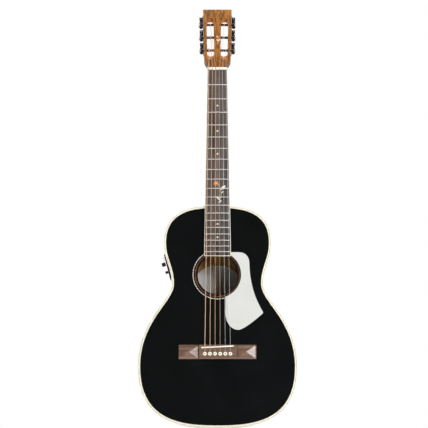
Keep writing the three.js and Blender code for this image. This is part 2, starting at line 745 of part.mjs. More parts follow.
// Distance from the headstock's edge inwards to the inner wall of the slot.
function rollerReach(station) {
  const edge = SHOULDER_WIDTH / 2 + (station - SHOULDER_LENGTH) * Math.tan(SIDE_TAPER);
  return edge - (slotCentre(station) - SLOT_WIDTH / 2);
}

function rollerHoles() {
  return [1, -1].flatMap((side) => {
    const frame = tunerFrame(side);
    return ROLLERS_AT.map((station) => {
      const reach = rollerReach(station);
      const wide = disc(ROLLER_RADIUS + GAP, -reach + GAP, 10);
      const narrow = disc(ROLLER_SHAFT_RADIUS + GAP, -reach - ROLLER_WEB_DEPTH - GAP, 0);
      const hole = join(wide, narrow).rotateZ((-side * Math.PI) / 2);
      return hole.translate(0, rollerAlong(station), -ROLLER_DEPTH).applyMatrix4(frame.matrix);
    });
  });
}

// One closed section of the neck: a half-round of a depth, with a flat of a width at its bottom.
function neckSection(y, depth, flatWidth, pinch) {
  const half = boardHalfWidth(Math.min(y, 0));
  const flat = flatWidth / 2;
  const steps = 12;
  return Array.from({ length: steps + 1 }, (_, i) => {
    const angle = (Math.PI * i) / steps;
    const across = Math.sign(Math.cos(angle)) * Math.abs(Math.cos(angle)) ** pinch;
    const edge = i === steps / 2 ? 0 : Math.sign(Math.cos(angle)) * flat;
    return new THREE.Vector3(edge + (half - flat) * across, y, -depth * Math.sin(angle));
  });
}

function neck(parent) {
  const heelFront = HEEL_END_Y + HEEL_TOE;
  const sweepStart = heelFront + HEEL_SWEEP;
  const slope = (NECK_DEPTH_AT_HEEL - NECK_DEPTH_AT_NUT) / (NUT_LENGTH - sweepStart);
  const shaftDepth = (y) => NECK_DEPTH_AT_NUT + slope * (NUT_LENGTH - y);
  const sections = [NUT_LENGTH, 0, sweepStart / 2, sweepStart].map((y) =>
    neckSection(y, shaftDepth(y), 1, 1),
  );
  [0.35, 0.6, 0.78, 0.9, 0.97, 1].forEach((share) => {
    const turn = 1 - Math.sqrt(1 - share * share);
    const depth = NECK_DEPTH_AT_HEEL + (HEEL_DEPTH - NECK_DEPTH_AT_HEEL) * turn;
    sections.push(neckSection(sweepStart - share * HEEL_SWEEP, depth, 1 + 5 * turn, 1 + 0.5 * turn));
  });
  [0.3, 0.65, 1].forEach((share) => {
    const flat = 6 + (HEEL_END_WIDTH - 6) * Math.sqrt(share);
    sections.push(neckSection(heelFront - share * HEEL_TOE, HEEL_DEPTH, flat, 1.5));
  });
  const head = prism(headOutline(-1), -HEAD_THICKNESS, 0).applyMatrix4(headGroup.matrixWorld);
  const holes = rollerHoles().map((hole) => hole.applyMatrix4(headGroup.matrixWorld));
  const ramps = slotRamps().map((ramp) => ramp.applyMatrix4(headGroup.matrixWorld));
  const shaft = loft(sections);
  const rodHalf = TRUSS_ROD.width / 2 + GAP;
  const rodRoom = box([-rodHalf, HEEL_END_Y - 10, -TRUSS_ROD.depth - 2 * GAP], [rodHalf, rodTop() + GAP, 1]);
  const underNut = box([-NUT_WIDTH, -GAP, 0], [NUT_WIDTH, NUT_LENGTH, 20]);
  place(parent, "neck", cut(join(shaft, head), ...holes, ...ramps, rodRoom, underNut), FINISH.mahogany);

  const rod = box(
    [-TRUSS_ROD.width / 2, HEEL_END_Y, -TRUSS_ROD.depth - GAP],
    [TRUSS_ROD.width / 2, rodTop(), -GAP],
  );
  place(parent, "truss_rod", rod, FINISH.steel);

  const capEnd = HEEL_END_WIDTH / 2;
  const cap = new THREE.Shape();
  cap.moveTo(-capEnd, HEEL_END_Y);
  cap.lineTo(capEnd, HEEL_END_Y);
  cap.quadraticCurveTo(capEnd * 0.8, heelFront, 0, heelFront);
  cap.quadraticCurveTo(-capEnd * 0.8, heelFront, -capEnd, HEEL_END_Y);
  const capTop = -HEEL_DEPTH - GAP;
  place(parent, "heel_cap", prism(cap, capTop - HEEL_CAP_THICKNESS, capTop), FINISH.blackPlastic);
}

function rodTop() {
  return Math.min(HEEL_END_Y + TRUSS_ROD.length, -2 * NUT_LENGTH);
}

function veneer(parent) {
  const nutRoom = box([-NUT_WIDTH, -NUT_LENGTH, -NUT_HEIGHT], [NUT_WIDTH, NUT_LENGTH + GAP, 2 * NUT_HEIGHT]);
  nutRoom.applyMatrix4(headGroup.matrixWorld.clone().invert());
  const sheet = prism(headOutline(-1), GAP, GAP + VENEER_THICKNESS);
  place(parent, "headstock_veneer", cut(sheet, nutRoom, ...slotRamps()), FINISH.amberWood);
}

// ---------------------------------------------------------------- tuning machines
const wormOut = PLATE.thickness + WORM_RADIUS + 2 * GAP;
const wormAlong = GEAR_RADIUS + GAP + WORM_RADIUS;

function gearShape() {
  const points = Array.from({ length: 2 * GEAR_TEETH }, (_, i) => {
    const radius = i % 2 ? GEAR_RADIUS : GEAR_RADIUS - 1;
    const angle = (Math.PI * i) / GEAR_TEETH;
    return [radius * Math.cos(angle), radius * Math.sin(angle)];
  });
  return polygon(points);
}

// The roller lies along its own y axis, from the middle web out through the plate to its gear.
function rollerGeometry(station) {
  const reach = rollerReach(station);
  const inner = -reach - ROLLER_WEB_DEPTH;
  const gearFoot = wormOut - GEAR_WIDTH / 2;
  const body = turned([
    [0, inner],
    [ROLLER_SHAFT_RADIUS, inner],
    [ROLLER_SHAFT_RADIUS, -reach + 2 * GAP],
    [ROLLER_RADIUS, -reach + 2 * GAP],
    [ROLLER_RADIUS, 0],
    [ROLLER_SHAFT_RADIUS, 0],
    [ROLLER_SHAFT_RADIUS, gearFoot + GEAR_WIDTH + 1],
    [0, gearFoot + GEAR_WIDTH + 1],
  ]);
  const gear = prism(gearShape(), gearFoot, gearFoot + GEAR_WIDTH).rotateX(-Math.PI / 2);
  return join(body, gear);
}

// The worm turns about its own y axis, with its button at the low end.
function wormGeometry() {
  const half = WORM_LENGTH / 2;
  const front = half + GAP + POST_THICKNESS + 1;
  const back = -half - GAP - POST_THICKNESS - BUTTON_NECK;
  const worm = turned(
    [
      [0, back - 1],
      [WORM_SHAFT_RADIUS, back - 1],
      [WORM_SHAFT_RADIUS, -half],
      [WORM_RADIUS, -half],
      [WORM_RADIUS, half],
      [WORM_SHAFT_RADIUS, half],
      [WORM_SHAFT_RADIUS, front],
      [0, front],
    ],
    10,
  );
  const { radius, length, flatness } = BUTTON;
  const button = turned([
    [0, back - length],
    [radius * 0.65, back - length],
    [radius, back - 0.68 * length],
    [radius * 0.8, back - 0.28 * length],
    [radius * 0.45, back],
    [0, back],
  ]).scale(1, 1, flatness);
  return join(worm, button);
}

// One plate carries three machines: a hole for each roller and two posts for each worm.
function plateGeometry(side) {
  const half = PLATE.width / 2;
  const first = rollerAlong(ROLLERS_AT[0]) - PLATE.before;
  const last = rollerAlong(ROLLERS_AT[2]) + PLATE.after;
  const [inner, outer] = [GAP, GAP + PLATE.thickness].map((x) => side * x);
  const [low, high] = [Math.min(inner, outer), Math.max(inner, outer)];
  let plate = box([low, first, -half], [high, last, half]);
  const postReach = side * (wormOut + WORM_SHAFT_RADIUS + GAP + 1.6);
  const [postLow, postHigh] = [Math.min(outer, postReach), Math.max(outer, postReach)];
  const postHalf = WORM_SHAFT_RADIUS + GAP + 1.6;
  ROLLERS_AT.forEach((station) => {
    const along = rollerAlong(station);
    const post = WORM_LENGTH / 2 + GAP;
    [
      [post, post + POST_THICKNESS],
      [-post - POST_THICKNESS, -post],
    ].forEach(([from, to]) => {
      const middle = along + wormAlong;
      const tab = box([postLow, middle - postHalf, from], [postHigh, middle + postHalf, to]);
      plate = join(plate, tab.translate(-side * 0.2, 0, 0));
    });
    const rollerHole = disc(ROLLER_SHAFT_RADIUS + GAP, -10, 10).rotateZ(Math.PI / 2).translate(0, along, 0);
    const wormHole = disc(WORM_SHAFT_RADIUS + GAP, -20, 20, 10).rotateX(Math.PI / 2);
    plate = cut(plate, rollerHole, wormHole.translate(side * wormOut, along + wormAlong, 0));
  });
  return plate.translate(0, 0, -ROLLER_DEPTH);
}

function tuners(parent) {
  const sides = [
    { side: -1, label: "bass" },
    { side: 1, label: "treble" },
  ];
  sides.forEach(({ side, label }) => {
    const frame = tunerFrame(side);
    parent.add(frame);
    place(frame, `tuner_plate_${label}`, plateGeometry(side), FINISH.blackMetal);
    ROLLERS_AT.forEach((station, index) => {
      const name = `${label}_${index + 1}`;
      const roller = place(frame, `roller_${name}`, rollerGeometry(station), FINISH.blackMetal);
      roller.position.set(0, rollerAlong(station), -ROLLER_DEPTH);
      roller.rotation.z = (-side * Math.PI) / 2;
      const worm = place(frame, `worm_button_${name}`, wormGeometry(), FINISH.blackPlastic);
      worm.position.set(side * wormOut, rollerAlong(station) + wormAlong, -ROLLER_DEPTH);
      worm.rotation.x = Math.PI / 2;
    });
  });
}

// ---------------------------------------------------------------- bridge, saddle and pins
function bridge(parent) {
  const [half, width] = [BRIDGE_LENGTH / 2, BRIDGE_WIDTH / 2];
  const centre = BRIDGE_CENTRE / 2;
  const wing = half - centre;
  const base = box([-half, -width, GAP], [half, width, GAP + BRIDGE_WING]);
  const block = box([-centre, -width, GAP], [centre, width, GAP + BRIDGE_HEIGHT]);
  const pyramids = [-1, 1].map((side) => {
    const rise = PYRAMID_HEIGHT - BRIDGE_WING + 0.5;
    const pyramid = new THREE.ConeGeometry(Math.SQRT1_2, 1, 4, 1, false, Math.PI / 4);
    pyramid.rotateX(Math.PI / 2).scale(wing, BRIDGE_WIDTH, rise);
    return pyramid.translate(side * (centre + wing / 2), 0, GAP + BRIDGE_WING - 0.5 + rise / 2);
  });
  const slot = box(
    [-SADDLE_LENGTH / 2 - GAP, -SADDLE_WIDTH / 2 - GAP, SADDLE_SEAT],
    [SADDLE_LENGTH / 2 + GAP, SADDLE_WIDTH / 2 + GAP, 20],
  ).rotateZ(THREE.MathUtils.degToRad(SADDLE_SLANT));
  slot.translate(0, SADDLE_Y - BRIDGE_Y, 0);
  const whole = join(base, block, ...pyramids).translate(0, BRIDGE_Y, 0);
  const drilled = cut(whole, slot.translate(0, BRIDGE_Y, 0), ...pinHoles(-30, 30));
  place(parent, "bridge", drilled, FINISH.bridgeWood);

  const length = SADDLE_LENGTH / 2;
  const saddle = loft(
    [-SADDLE_WIDTH / 2, SADDLE_WIDTH / 2].map((y) => [
      new THREE.Vector3(-length, y, SADDLE_SEAT + GAP),
      new THREE.Vector3(length, y, SADDLE_SEAT + GAP),
      ...crownedTop(length, SADDLE_TOP, y),
    ]),
  );
  const mesh = place(parent, "saddle", saddle, FINISH.bone);
  mesh.position.set(0, SADDLE_Y, 0);
  mesh.rotation.z = THREE.MathUtils.degToRad(SADDLE_SLANT);

  const top = BRIDGE_HEIGHT + 2 * GAP;
  STRING_RADII.forEach((_, index) => {
    const pin = turned([
      [0, top - PIN_LENGTH],
      [PIN_RADIUS * 0.8, top - PIN_LENGTH],
      [PIN_RADIUS, top],
      [PIN_HEAD_RADIUS, top],
      [PIN_HEAD_RADIUS * 0.9, top + 1.4],
      [0, top + 2.7],
    ]).rotateX(Math.PI / 2);
    const mesh = place(parent, `bridge_pin_${STRINGS - index}`, pin, FINISH.cream);
    mesh.position.set(stringX(index, STRING_SPREAD_AT_PINS), PINS_Y, 0);
  });
}

// ---------------------------------------------------------------- strings
// Where each string meets its roller: the roller's number from the nut, and its place across the slot.
const STRING_TO_ROLLER = [
  { roller: 0, across: -19.5 },
  { roller: 1, across: -15.5 },
  { roller: 2, across: -16.3 },
  { roller: 2, across: 16.3 },
  { roller: 1, across: 15.5 },
  { roller: 0, across: 19.5 },
];

function tube(points, radius) {
  const sides = 8;
  const rings = points.map((point, i) => {
    const before = points[Math.max(i - 1, 0)];
    const after = points[Math.min(i + 1, points.length - 1)];
    const into = point.clone().sub(before).normalize();
    const out = after.clone().sub(point).normalize();
    const along = into.add(out).normalize();
    const right = new THREE.Vector3(1, 0, 0).addScaledVector(along, -along.x).normalize();
    const up = new THREE.Vector3().crossVectors(right, along);
    return Array.from({ length: sides }, (_, j) => {
      const angle = (2 * Math.PI * j) / sides;
      return point
        .clone()
        .addScaledVector(right, radius * Math.cos(angle))
        .addScaledVector(up, radius * Math.sin(angle));
    });
  });
  return loft(rings);
}

function strings(parent) {
  STRING_RADII.forEach((radius, index) => {
    const atPins = stringX(index, STRING_SPREAD_AT_PINS);
    const atNut = stringX(index, STRING_SPREAD_AT_NUT);
    const slant = Math.tan(THREE.MathUtils.degToRad(SADDLE_SLANT));
    const nutHeight = NUT_HEIGHT + crown(atNut) + GAP + radius;
    const saddleY = SADDLE_Y + slant * atPins;
    const saddleHeight = SADDLE_TOP + crown(atPins) + GAP + radius;
    const lip = BRIDGE_HEIGHT + 2 * GAP + radius;
    const plateFoot = UNDER_TOP - BRIDGE_PLATE.thickness - GAP;
    const { roller, across } = STRING_TO_ROLLER[index];
    const head = new THREE.Vector3(across, ROLLERS_AT[roller], -ROLLER_DEPTH + ROLLER_RADIUS + GAP + radius);
    const onRoller = head.applyMatrix4(headGroup.matrixWorld);
    const path = [
      new THREE.Vector3(atPins, STRING_HOLE_Y, plateFoot - 2),
      new THREE.Vector3(atPins, STRING_HOLE_Y, lip - 1),
      new THREE.Vector3(atPins, STRING_HOLE_Y + 0.7, lip + 0.2),
      new THREE.Vector3(atPins, saddleY - 1, saddleHeight - 0.3),
      new THREE.Vector3(atPins, saddleY, saddleHeight),
      new THREE.Vector3(atNut, 0, nutHeight),
      new THREE.Vector3(atNut + (across - atNut) * 0.06, NUT_LENGTH, nutHeight - 0.1),
      onRoller,
    ];
    const ball = disc(BALL_RADIUS, -BALL_RADIUS, BALL_RADIUS, 10).rotateZ(Math.PI / 2);
    ball.translate(atPins, STRING_HOLE_Y, plateFoot - BALL_RADIUS);
    const material = index < 4 ? FINISH.bronze : FINISH.steel;
    place(parent, `string_${STRINGS - index}`, join(tube(path, radius), ball), material);
  });
}

// ---------------------------------------------------------------- preamp and end pin
function preamp(parent) {
  const [length, width] = [PANEL.length / 2, PANEL.width / 2];
  const face = box([-GAP - PANEL.thickness, -length, -width], [-GAP, length, width]);
  const panel = join(face, housingBlock(0).translate(-0.2, 0, 0));
  parent.add(panelGroup);
  place(panelGroup, "preamp_panel", panel, FINISH.blackPlastic);
  KNOBS.forEach(({ name, along, radius, height }) => {
    const knob = turned(
      [
        [0, 0],
        [radius, 0],
        [radius, height - 0.8],
        [radius - 0.8, height],
        [0, height],
      ],
      16,
    );
    const mesh = place(panelGroup, name, knob, FINISH.blackPlastic);
    mesh.position.set(-2 * GAP - PANEL.thickness, along, 0);
    mesh.rotation.z = Math.PI / 2;
  });
}

function endPin(parent) {
  const { radius, length } = END_PIN_HEAD;
  const pin = turned(
    [
      [0, -GAP - length],
      [radius, -GAP - length],
      [radius, -GAP - length + 2.5],
      [radius * 0.72, -GAP - length + 4.5],
      [radius, -GAP - 1.5],
      [radius, -GAP],
      [END_PIN_RADIUS, -GAP],
      [END_PIN_RADIUS * 0.9, TAIL_BLOCK.length + 4],
      [0, TAIL_BLOCK.length + 4],
    ],
    16,
  );
  place(parent, "end_pin", pin, FINISH.blackPlastic).position.set(0, BODY_BOTTOM, endPinZ);
}

// ---------------------------------------------------------------- assembly
const instrument = new THREE.Group();
instrument.position.copy(HANGER).negate();
bodyShell(instrument);
blocks(instrument);
braces(instrument);
trim(instrument);
fingerboard(instrument);
neck(instrument);
instrument.add(headGroup);
veneer(headGroup);
tuners(headGroup);
bridge(instrument);
strings(instrument);
preamp(instrument);
endPin(instrument);

const guitar = new THREE.Group();
const upright = new THREE.Group();
upright.rotation.x = Math.PI / 2;
upright.add(instrument);
guitar.add(upright);

export default guitar;
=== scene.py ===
"""A small black acoustic guitar with a slotted headstock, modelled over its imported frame.

Drawing frame, in millimetres: x runs across to the treble side, y up the neck from the front edge of
the nut, and z out of the soundboard. DRAWING carries it to the upright guitar, in metres.
"""
import logging
import math
from dataclasses import dataclass, field
from enum import Enum
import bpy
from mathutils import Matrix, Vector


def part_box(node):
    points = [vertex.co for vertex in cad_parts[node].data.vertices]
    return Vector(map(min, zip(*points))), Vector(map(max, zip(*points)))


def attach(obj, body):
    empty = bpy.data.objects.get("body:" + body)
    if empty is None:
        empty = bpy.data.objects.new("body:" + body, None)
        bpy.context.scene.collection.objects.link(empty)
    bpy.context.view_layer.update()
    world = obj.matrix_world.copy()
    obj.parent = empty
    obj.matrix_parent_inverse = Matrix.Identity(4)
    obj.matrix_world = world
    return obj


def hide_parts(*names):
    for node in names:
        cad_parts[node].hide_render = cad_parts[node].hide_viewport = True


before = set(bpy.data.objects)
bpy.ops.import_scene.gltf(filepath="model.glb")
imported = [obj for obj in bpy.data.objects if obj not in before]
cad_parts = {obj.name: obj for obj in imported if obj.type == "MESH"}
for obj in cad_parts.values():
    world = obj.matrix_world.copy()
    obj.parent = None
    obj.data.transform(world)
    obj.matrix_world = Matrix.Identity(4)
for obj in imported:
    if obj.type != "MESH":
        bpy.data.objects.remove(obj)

from types import TracebackType
from typing import Callable, Optional, Sequence

import bmesh
import bpy
from mathutils import Matrix, Vector

LOG = logging.getLogger("guitar")
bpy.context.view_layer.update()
Pair = tuple[float, float]
Colour = tuple[float, float, float]
Piece = bpy.types.Object
MM = 0.001
SCALE = 630.0
CROWN_RADIUS = 406.0
HOLE = (0.0, -470.0)
PINS_AT = -645.0
PIN_SPREAD = 55.5
NUT_SPREAD = 39.0
NUT_LENGTH = 6
STATIONS = (50.0, 85.0, 120.0)
EDGE_START = 26
EDGE_HALF = 30.5
EDGE_RISE = 3
EDGE_RUN = 132
HANGER_BEHIND = 15.5
HANGER_UP = 19
UPRIGHT = Matrix(((1, 0, 0, 0), (0, 0, -1, -HANGER_BEHIND), (0, 1, 0, -HANGER_UP), (0, 0, 0, 1)))
DRAWING = Matrix.Scale(MM, 4) @ UPRIGHT
HEAD = DRAWING @ Matrix.Translation((0, NUT_LENGTH, 0)) @ Matrix.Rotation(math.radians(-14), 4, "X")


class Side(Enum):
    """The two sides of the guitar, by the direction of x."""

    BASS = -1
    TREBLE = 1

    @property
    def label(self) -> str:
        """The side's name as the frame writes it."""
        return self.name.lower()


class Grain(Enum):
    """Which way the fibres of a piece of wood run, as the stretch of its pattern."""

    UPRIGHT = (60.0, 60.0, 2.2)
    CROSSWISE = (2.2, 60.0, 60.0)
    STRAIGHT = (190.0, 190.0, 2.4)


# ------------------------------------------------------------------ modelling tools
class Editing:
    """Edit mode on one object, with everything selected at the start."""

    def __init__(self, piece: Piece) -> None:
        """Keeps the piece to edit."""
        self.piece = piece

    def __enter__(self) -> Piece:
        """Selects the piece and enters edit mode."""
        pick(self.piece)
        bpy.ops.object.mode_set(mode="EDIT")
        bpy.ops.mesh.select_all(action="SELECT")
        return self.piece

    def __exit__(
        self,
        kind: Optional[type[BaseException]],
        error: Optional[BaseException],
        trace: Optional[TracebackType],
    ) -> None:
        """Returns to object mode."""
        bpy.ops.object.mode_set(mode="OBJECT")


def pick(*pieces: Piece) -> None:
    """Selects these objects alone and makes the first one active."""
    bpy.ops.object.select_all(action="DESELECT")
    for piece in pieces:
        piece.select_set(True)
    bpy.context.view_layer.objects.active = pieces[0]


def modify(piece: Piece, kind: str, **settings: object) -> None:
    """Adds a modifier to a piece and applies it.

    Args:
        piece: the mesh to change.
        kind: the modifier's type.
        **settings: its values by name.
    """
    pick(piece)
    modifier = piece.modifiers.new(kind.title(), kind)
    for name, value in settings.items():
        setattr(modifier, name, value)
    bpy.ops.object.modifier_apply(modifier=modifier.name)


def smooth(piece: Piece, degrees: float = 32, flats: bool = False) -> None:
    """Shades a piece smooth across edges flatter than an angle.

    Args:
        piece: the mesh to shade.
        degrees: the angle.
        flats: whether its large faces stay flat, with all the turn in its small ones.
    """
    pick(piece)
    bpy.ops.object.shade_smooth_by_angle(angle=math.radians(degrees), keep_sharp_edges=False)
    if flats:
        modify(piece, "WEIGHTED_NORMAL", keep_sharp=True)


def settle(piece: Piece, place: Matrix) -> Piece:
    """Carries a finished mesh from its drawing frame to its place and leaves its object at the origin."""
    piece.data.transform(place @ piece.matrix_basis)
    piece.matrix_basis = Matrix.Identity(4)
    if place.determinant() < 0:
        piece.data.flip_normals()
    return piece


def joined(name: str, pieces: Sequence[Piece]) -> Piece:
    """Joins meshes that are one piece of work, under one name."""
    pick(*pieces)
    if len(pieces) > 1:
        bpy.ops.object.join()
    whole = bpy.context.object
    whole.name = name
    return whole


def seal(piece: Piece, doubles: float = 0.0) -> None:
    """Merges a mesh's doubled points, if a distance is given, and turns its faces outward."""
    with Editing(piece):
        if doubles:
            bpy.ops.mesh.remove_doubles(threshold=doubles)
        bpy.ops.mesh.normals_make_consistent(inside=False)


def curve_object(name: str, lines: Sequence[Sequence[Sequence[float]]], closed: bool, flat: bool) -> Piece:
    """Draws straight-segment curves through points.

    Args:
        name: the new object's name.
        lines: one list of points for each line, of two or three numbers.
        closed: whether each line returns to its start.
        flat: whether the curve lies in its own plane, so that closed lines are filled.

    Returns:
        The curve object, still a curve.
    """
    bpy.ops.object.select_all(action="DESELECT")
    bpy.ops.curve.primitive_bezier_circle_add()
    drawn = bpy.context.object
    drawn.name = name
    drawn.data.splines.clear()
    drawn.data.dimensions = "2D" if flat else "3D"
    for line in lines:
        spline = drawn.data.splines.new("POLY")
        spline.points.add(len(line) - 1)
        for point, place in zip(spline.points, line):
            point.co = (place[0], place[1], place[2] if len(place) > 2 else 0.0, 1.0)
        spline.use_cyclic_u = closed
    return drawn


def to_mesh(drawn: Piece) -> Piece:
    """Turns a curve into a mesh with its doubled points merged."""
    pick(drawn)
    bpy.ops.object.convert(target="MESH")
    made = bpy.context.object
    with Editing(made):
        bpy.ops.mesh.remove_doubles(threshold=0.0005)
    return made


def plate(name: str, outlines: Sequence[Sequence[Pair]], low: float, high: float, edge: float = 0.0) -> Piece:
    """Cuts a flat sheet to an outline, with rounded edges.

    Args:
        name: the new object's name.
        outlines: the outer line, then one line for each hole.
        low: height of the sheet's underside.
        high: height of its top.
        edge: radius of its rounded edges.

    Returns:
        The sheet, in its drawing frame.
    """
    drawn = curve_object(name, outlines, True, True)
    drawn.data.fill_mode = "BOTH"
    drawn.data.extrude = (high - low) / 2 - edge
    drawn.data.bevel_depth = edge
    drawn.data.bevel_resolution = 2
    drawn.data.offset = -edge
    drawn.location.z = (high + low) / 2
    made = settle(to_mesh(drawn), Matrix.Identity(4))
    seal(made)
    smooth(made, 40, flats=edge > 0)
    return made


def turned(name: str, profile: Sequence[Pair], steps: int = 32) -> Piece:
    """Turns a profile of (radius, height) once round the z axis, as on a lathe."""
    made = to_mesh(curve_object(name, [[(radius, 0.0, height) for radius, height in profile]], False, False))
    with Editing(made):
        bpy.ops.mesh.spin(steps=steps, angle=2 * math.pi, center=(0, 0, 0), axis=(0, 0, 1))
    seal(made, 0.002)
    smooth(made, 38)
    return made


def rod(name: str, points: Sequence[Sequence[float]], radius: float, sides: int = 2) -> Piece:
    """Runs a round wire through points, with closed ends."""
    drawn = curve_object(name, [points], False, False)
    drawn.data.bevel_depth = radius
    drawn.data.bevel_resolution = sides
    drawn.data.use_fill_caps = True
    made = to_mesh(drawn)
    seal(made)
    smooth(made, 50)
    return made


def block(name: str, low: Sequence[float], high: Sequence[float], edge: float = 0.0) -> Piece:
    """A rectangular block between two corners, with its edges rounded over."""
    bpy.ops.object.select_all(action="DESELECT")
    bpy.ops.mesh.primitive_cube_add(size=1)
    made = bpy.context.object
    made.name = name
    centre = [(a + b) / 2 for a, b in zip(low, high)]
    size = [b - a for a, b in zip(low, high)]
    made.data.transform(Matrix.Translation(centre) @ Matrix.Diagonal((*size, 1)))
    if edge:
        modify(made, "BEVEL", width=edge, segments=3)
        smooth(made, 44, flats=True)
    return made


def carve(piece: Piece, tool: Piece) -> None:
    """Cuts one solid out of another and throws the tool away."""
    modify(piece, "BOOLEAN", operation="DIFFERENCE", object=tool, solver="EXACT")
    bpy.data.objects.remove(tool)


def copied(piece: Piece, name: str) -> Piece:
    """Another piece of the same shape, with a mesh of its own."""
    twin = piece.copy()
    twin.data = piece.data.copy()
    twin.name = name
    bpy.context.collection.objects.link(twin)
    return twin


def softened(
    node: str, width: float, degrees: float = 40, segments: int = 2, shade: float = 44
) -> Piece:
    """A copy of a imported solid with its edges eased, to stand in its place.

    Args:
        node: the solid's name.
        width: width of the eased edge, in millimetres.
        degrees: edges sharper than this are eased.
        segments: facets across an eased edge.
        shade: edges flatter than this are shaded smooth, and at 0 every facet is flat.

    Returns:
        The new piece, which replaces the solid.
    """
    piece = copied(bpy.data.objects[node], f"{node}_finished")
    piece.parent = None
    piece.matrix_basis = Matrix.Identity(4)
    pick(piece)
    bpy.ops.mesh.customdata_custom_splitnormals_clear()
    with Editing(piece):
        bpy.ops.mesh.remove_doubles(threshold=0.00002)
        bpy.ops.mesh.dissolve_limited(angle_limit=math.radians(1))
    if width:
        modify(
            piece, "BEVEL", width=width * MM, segments=segments, limit_method="ANGLE",
            angle_limit=math.radians(degrees), use_clamp_overlap=True,
        )
    if shade:
        smooth(piece, shade, flats=True)
    else:
        pick(piece)
        bpy.ops.object.shade_flat()
    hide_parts(node)
    return piece


def arc(radius: float, start: float, end: float, steps: int, centre: Pair = (0.0, 0.0)) -> list[Pair]:
    """Points along an arc between two angles in degrees, both ends included."""
    turns = [math.radians(start + (end - start) * i / steps) for i in range(steps + 1)]
    return [(centre[0] + radius * math.cos(t), centre[1] + radius * math.sin(t)) for t in turns]


def circle(radius: float, steps: int = 96, centre: Pair = (0.0, 0.0)) -> list[Pair]:
    """Points round a circle."""
    return arc(radius, 0, 360, steps, centre)[:-1]


def toothed(radii: Sequence[float], count: int) -> list[Pair]:
    """Points round a circle, at distances from its middle that repeat in turn."""
    ring = []
    for i in range(count):
        radius, turn = radii[i % len(radii)], 2 * math.pi * i / count
        ring.append((radius * math.cos(turn), radius * math.sin(turn)))
    return ring


def bezier(a: Pair, b: Pair, c: Pair, d: Pair, steps: int) -> list[Pair]:
    """Points along a cubic curve, without its first one."""
    points = []
    for i in range(1, steps + 1):
        t = i / steps
        weights = ((1 - t) ** 3, 3 * t * (1 - t) ** 2, 3 * t * t * (1 - t), t**3)
        points.append(tuple(sum(w * p[axis] for w, p in zip(weights, (a, b, c, d))) for axis in (0, 1)))
    return points


# ------------------------------------------------------------------ shader tools
class Wiring:
    """A node tree with short ways to add and join nodes."""

    def __init__(self, tree: bpy.types.NodeTree) -> None:
        """Keeps the tree."""
        self.tree = tree

    def node(self, kind: str, inputs: Optional[dict] = None, **settings: object) -> bpy.types.Node:
        """Adds a node.

        Args:
            kind: the node's type, without "ShaderNode".
            inputs: values or sockets for its inputs, by name or number.
            **settings: its own settings.

        Returns:
            The node.
        """
        made = self.tree.nodes.new(f"ShaderNode{kind}")
        for name, value in settings.items():
            setattr(made, name, value)
        for name, value in (inputs or {}).items():
            self.feed(made.inputs[name], value)
        return made

    def feed(self, socket: bpy.types.NodeSocket, value: object) -> None:
        """Sets a socket, or links another one to it."""
        if isinstance(value, bpy.types.NodeSocket):
            self.tree.links.new(value, socket)
        elif isinstance(value, tuple) and len(value) == 3 and socket.type == "RGBA":
            socket.default_value = (*value, 1.0)
        else:
            socket.default_value = value

    def noise(
        self, vector: object, scale: float, detail: float = 3, rough: float = 0.5, bend: float = 0
    ) -> object:
        """The strength of a noise pattern."""
        values = {"Vector": vector, "Scale": scale, "Detail": detail, "Roughness": rough, "Distortion": bend}
        return self.node("TexNoise", values).outputs[0]

    def ramp(self, fac: object, low: float, high: float, to_low: float = 0.0, to_high: float = 1.0) -> object:
        """A value carried from one range to another, held at its ends."""
        values = {0: fac, 1: low, 2: high, 3: to_low, 4: to_high}
        return self.node("MapRange", values, clamp=True).outputs[0]

    def math(self, kind: str, a: object, b: object) -> object:
        """One sum on two values."""
        return self.node("Math", {0: a, 1: b}, operation=kind).outputs[0]

    def mix(self, fac: object, a: object, b: object, kind: str = "MIX") -> object:
        """Two colours mixed."""
        return self.node("Mix", {0: fac, 6: a, 7: b}, data_type="RGBA", blend_type=kind).outputs[2]

    def stretched(self, vector: object, scale: Sequence[float], move: Sequence[float] = (0, 0, 0)) -> object:
        """A vector through a mapping."""
        made = self.node("Mapping", {"Vector": vector})
        made.inputs["Scale"].default_value = scale
        made.inputs["Location"].default_value = move
        return made.outputs[0]


def shader_group(name: str, sockets: Sequence[tuple[str, str, str]], build: Callable) -> bpy.types.NodeTree:
    """Builds a shared effect once.

    Args:
        name: the group's name.
        sockets: the direction, name and type of each socket.
        build: fills the group, given its wiring, its inputs and its output node.

    Returns:
        The group's tree.
    """
    found = bpy.data.node_groups.get(name)
    if found:
        return found
    tree = bpy.data.node_groups.new(name, "ShaderNodeTree")
    for direction, label, kind in sockets:
        tree.interface.new_socket(label, in_out=direction, socket_type=f"NodeSocket{kind}")
    entry = tree.nodes.new("NodeGroupInput")
    leave = tree.nodes.new("NodeGroupOutput")
    build(Wiring(tree), entry.outputs, leave.inputs)
    return tree


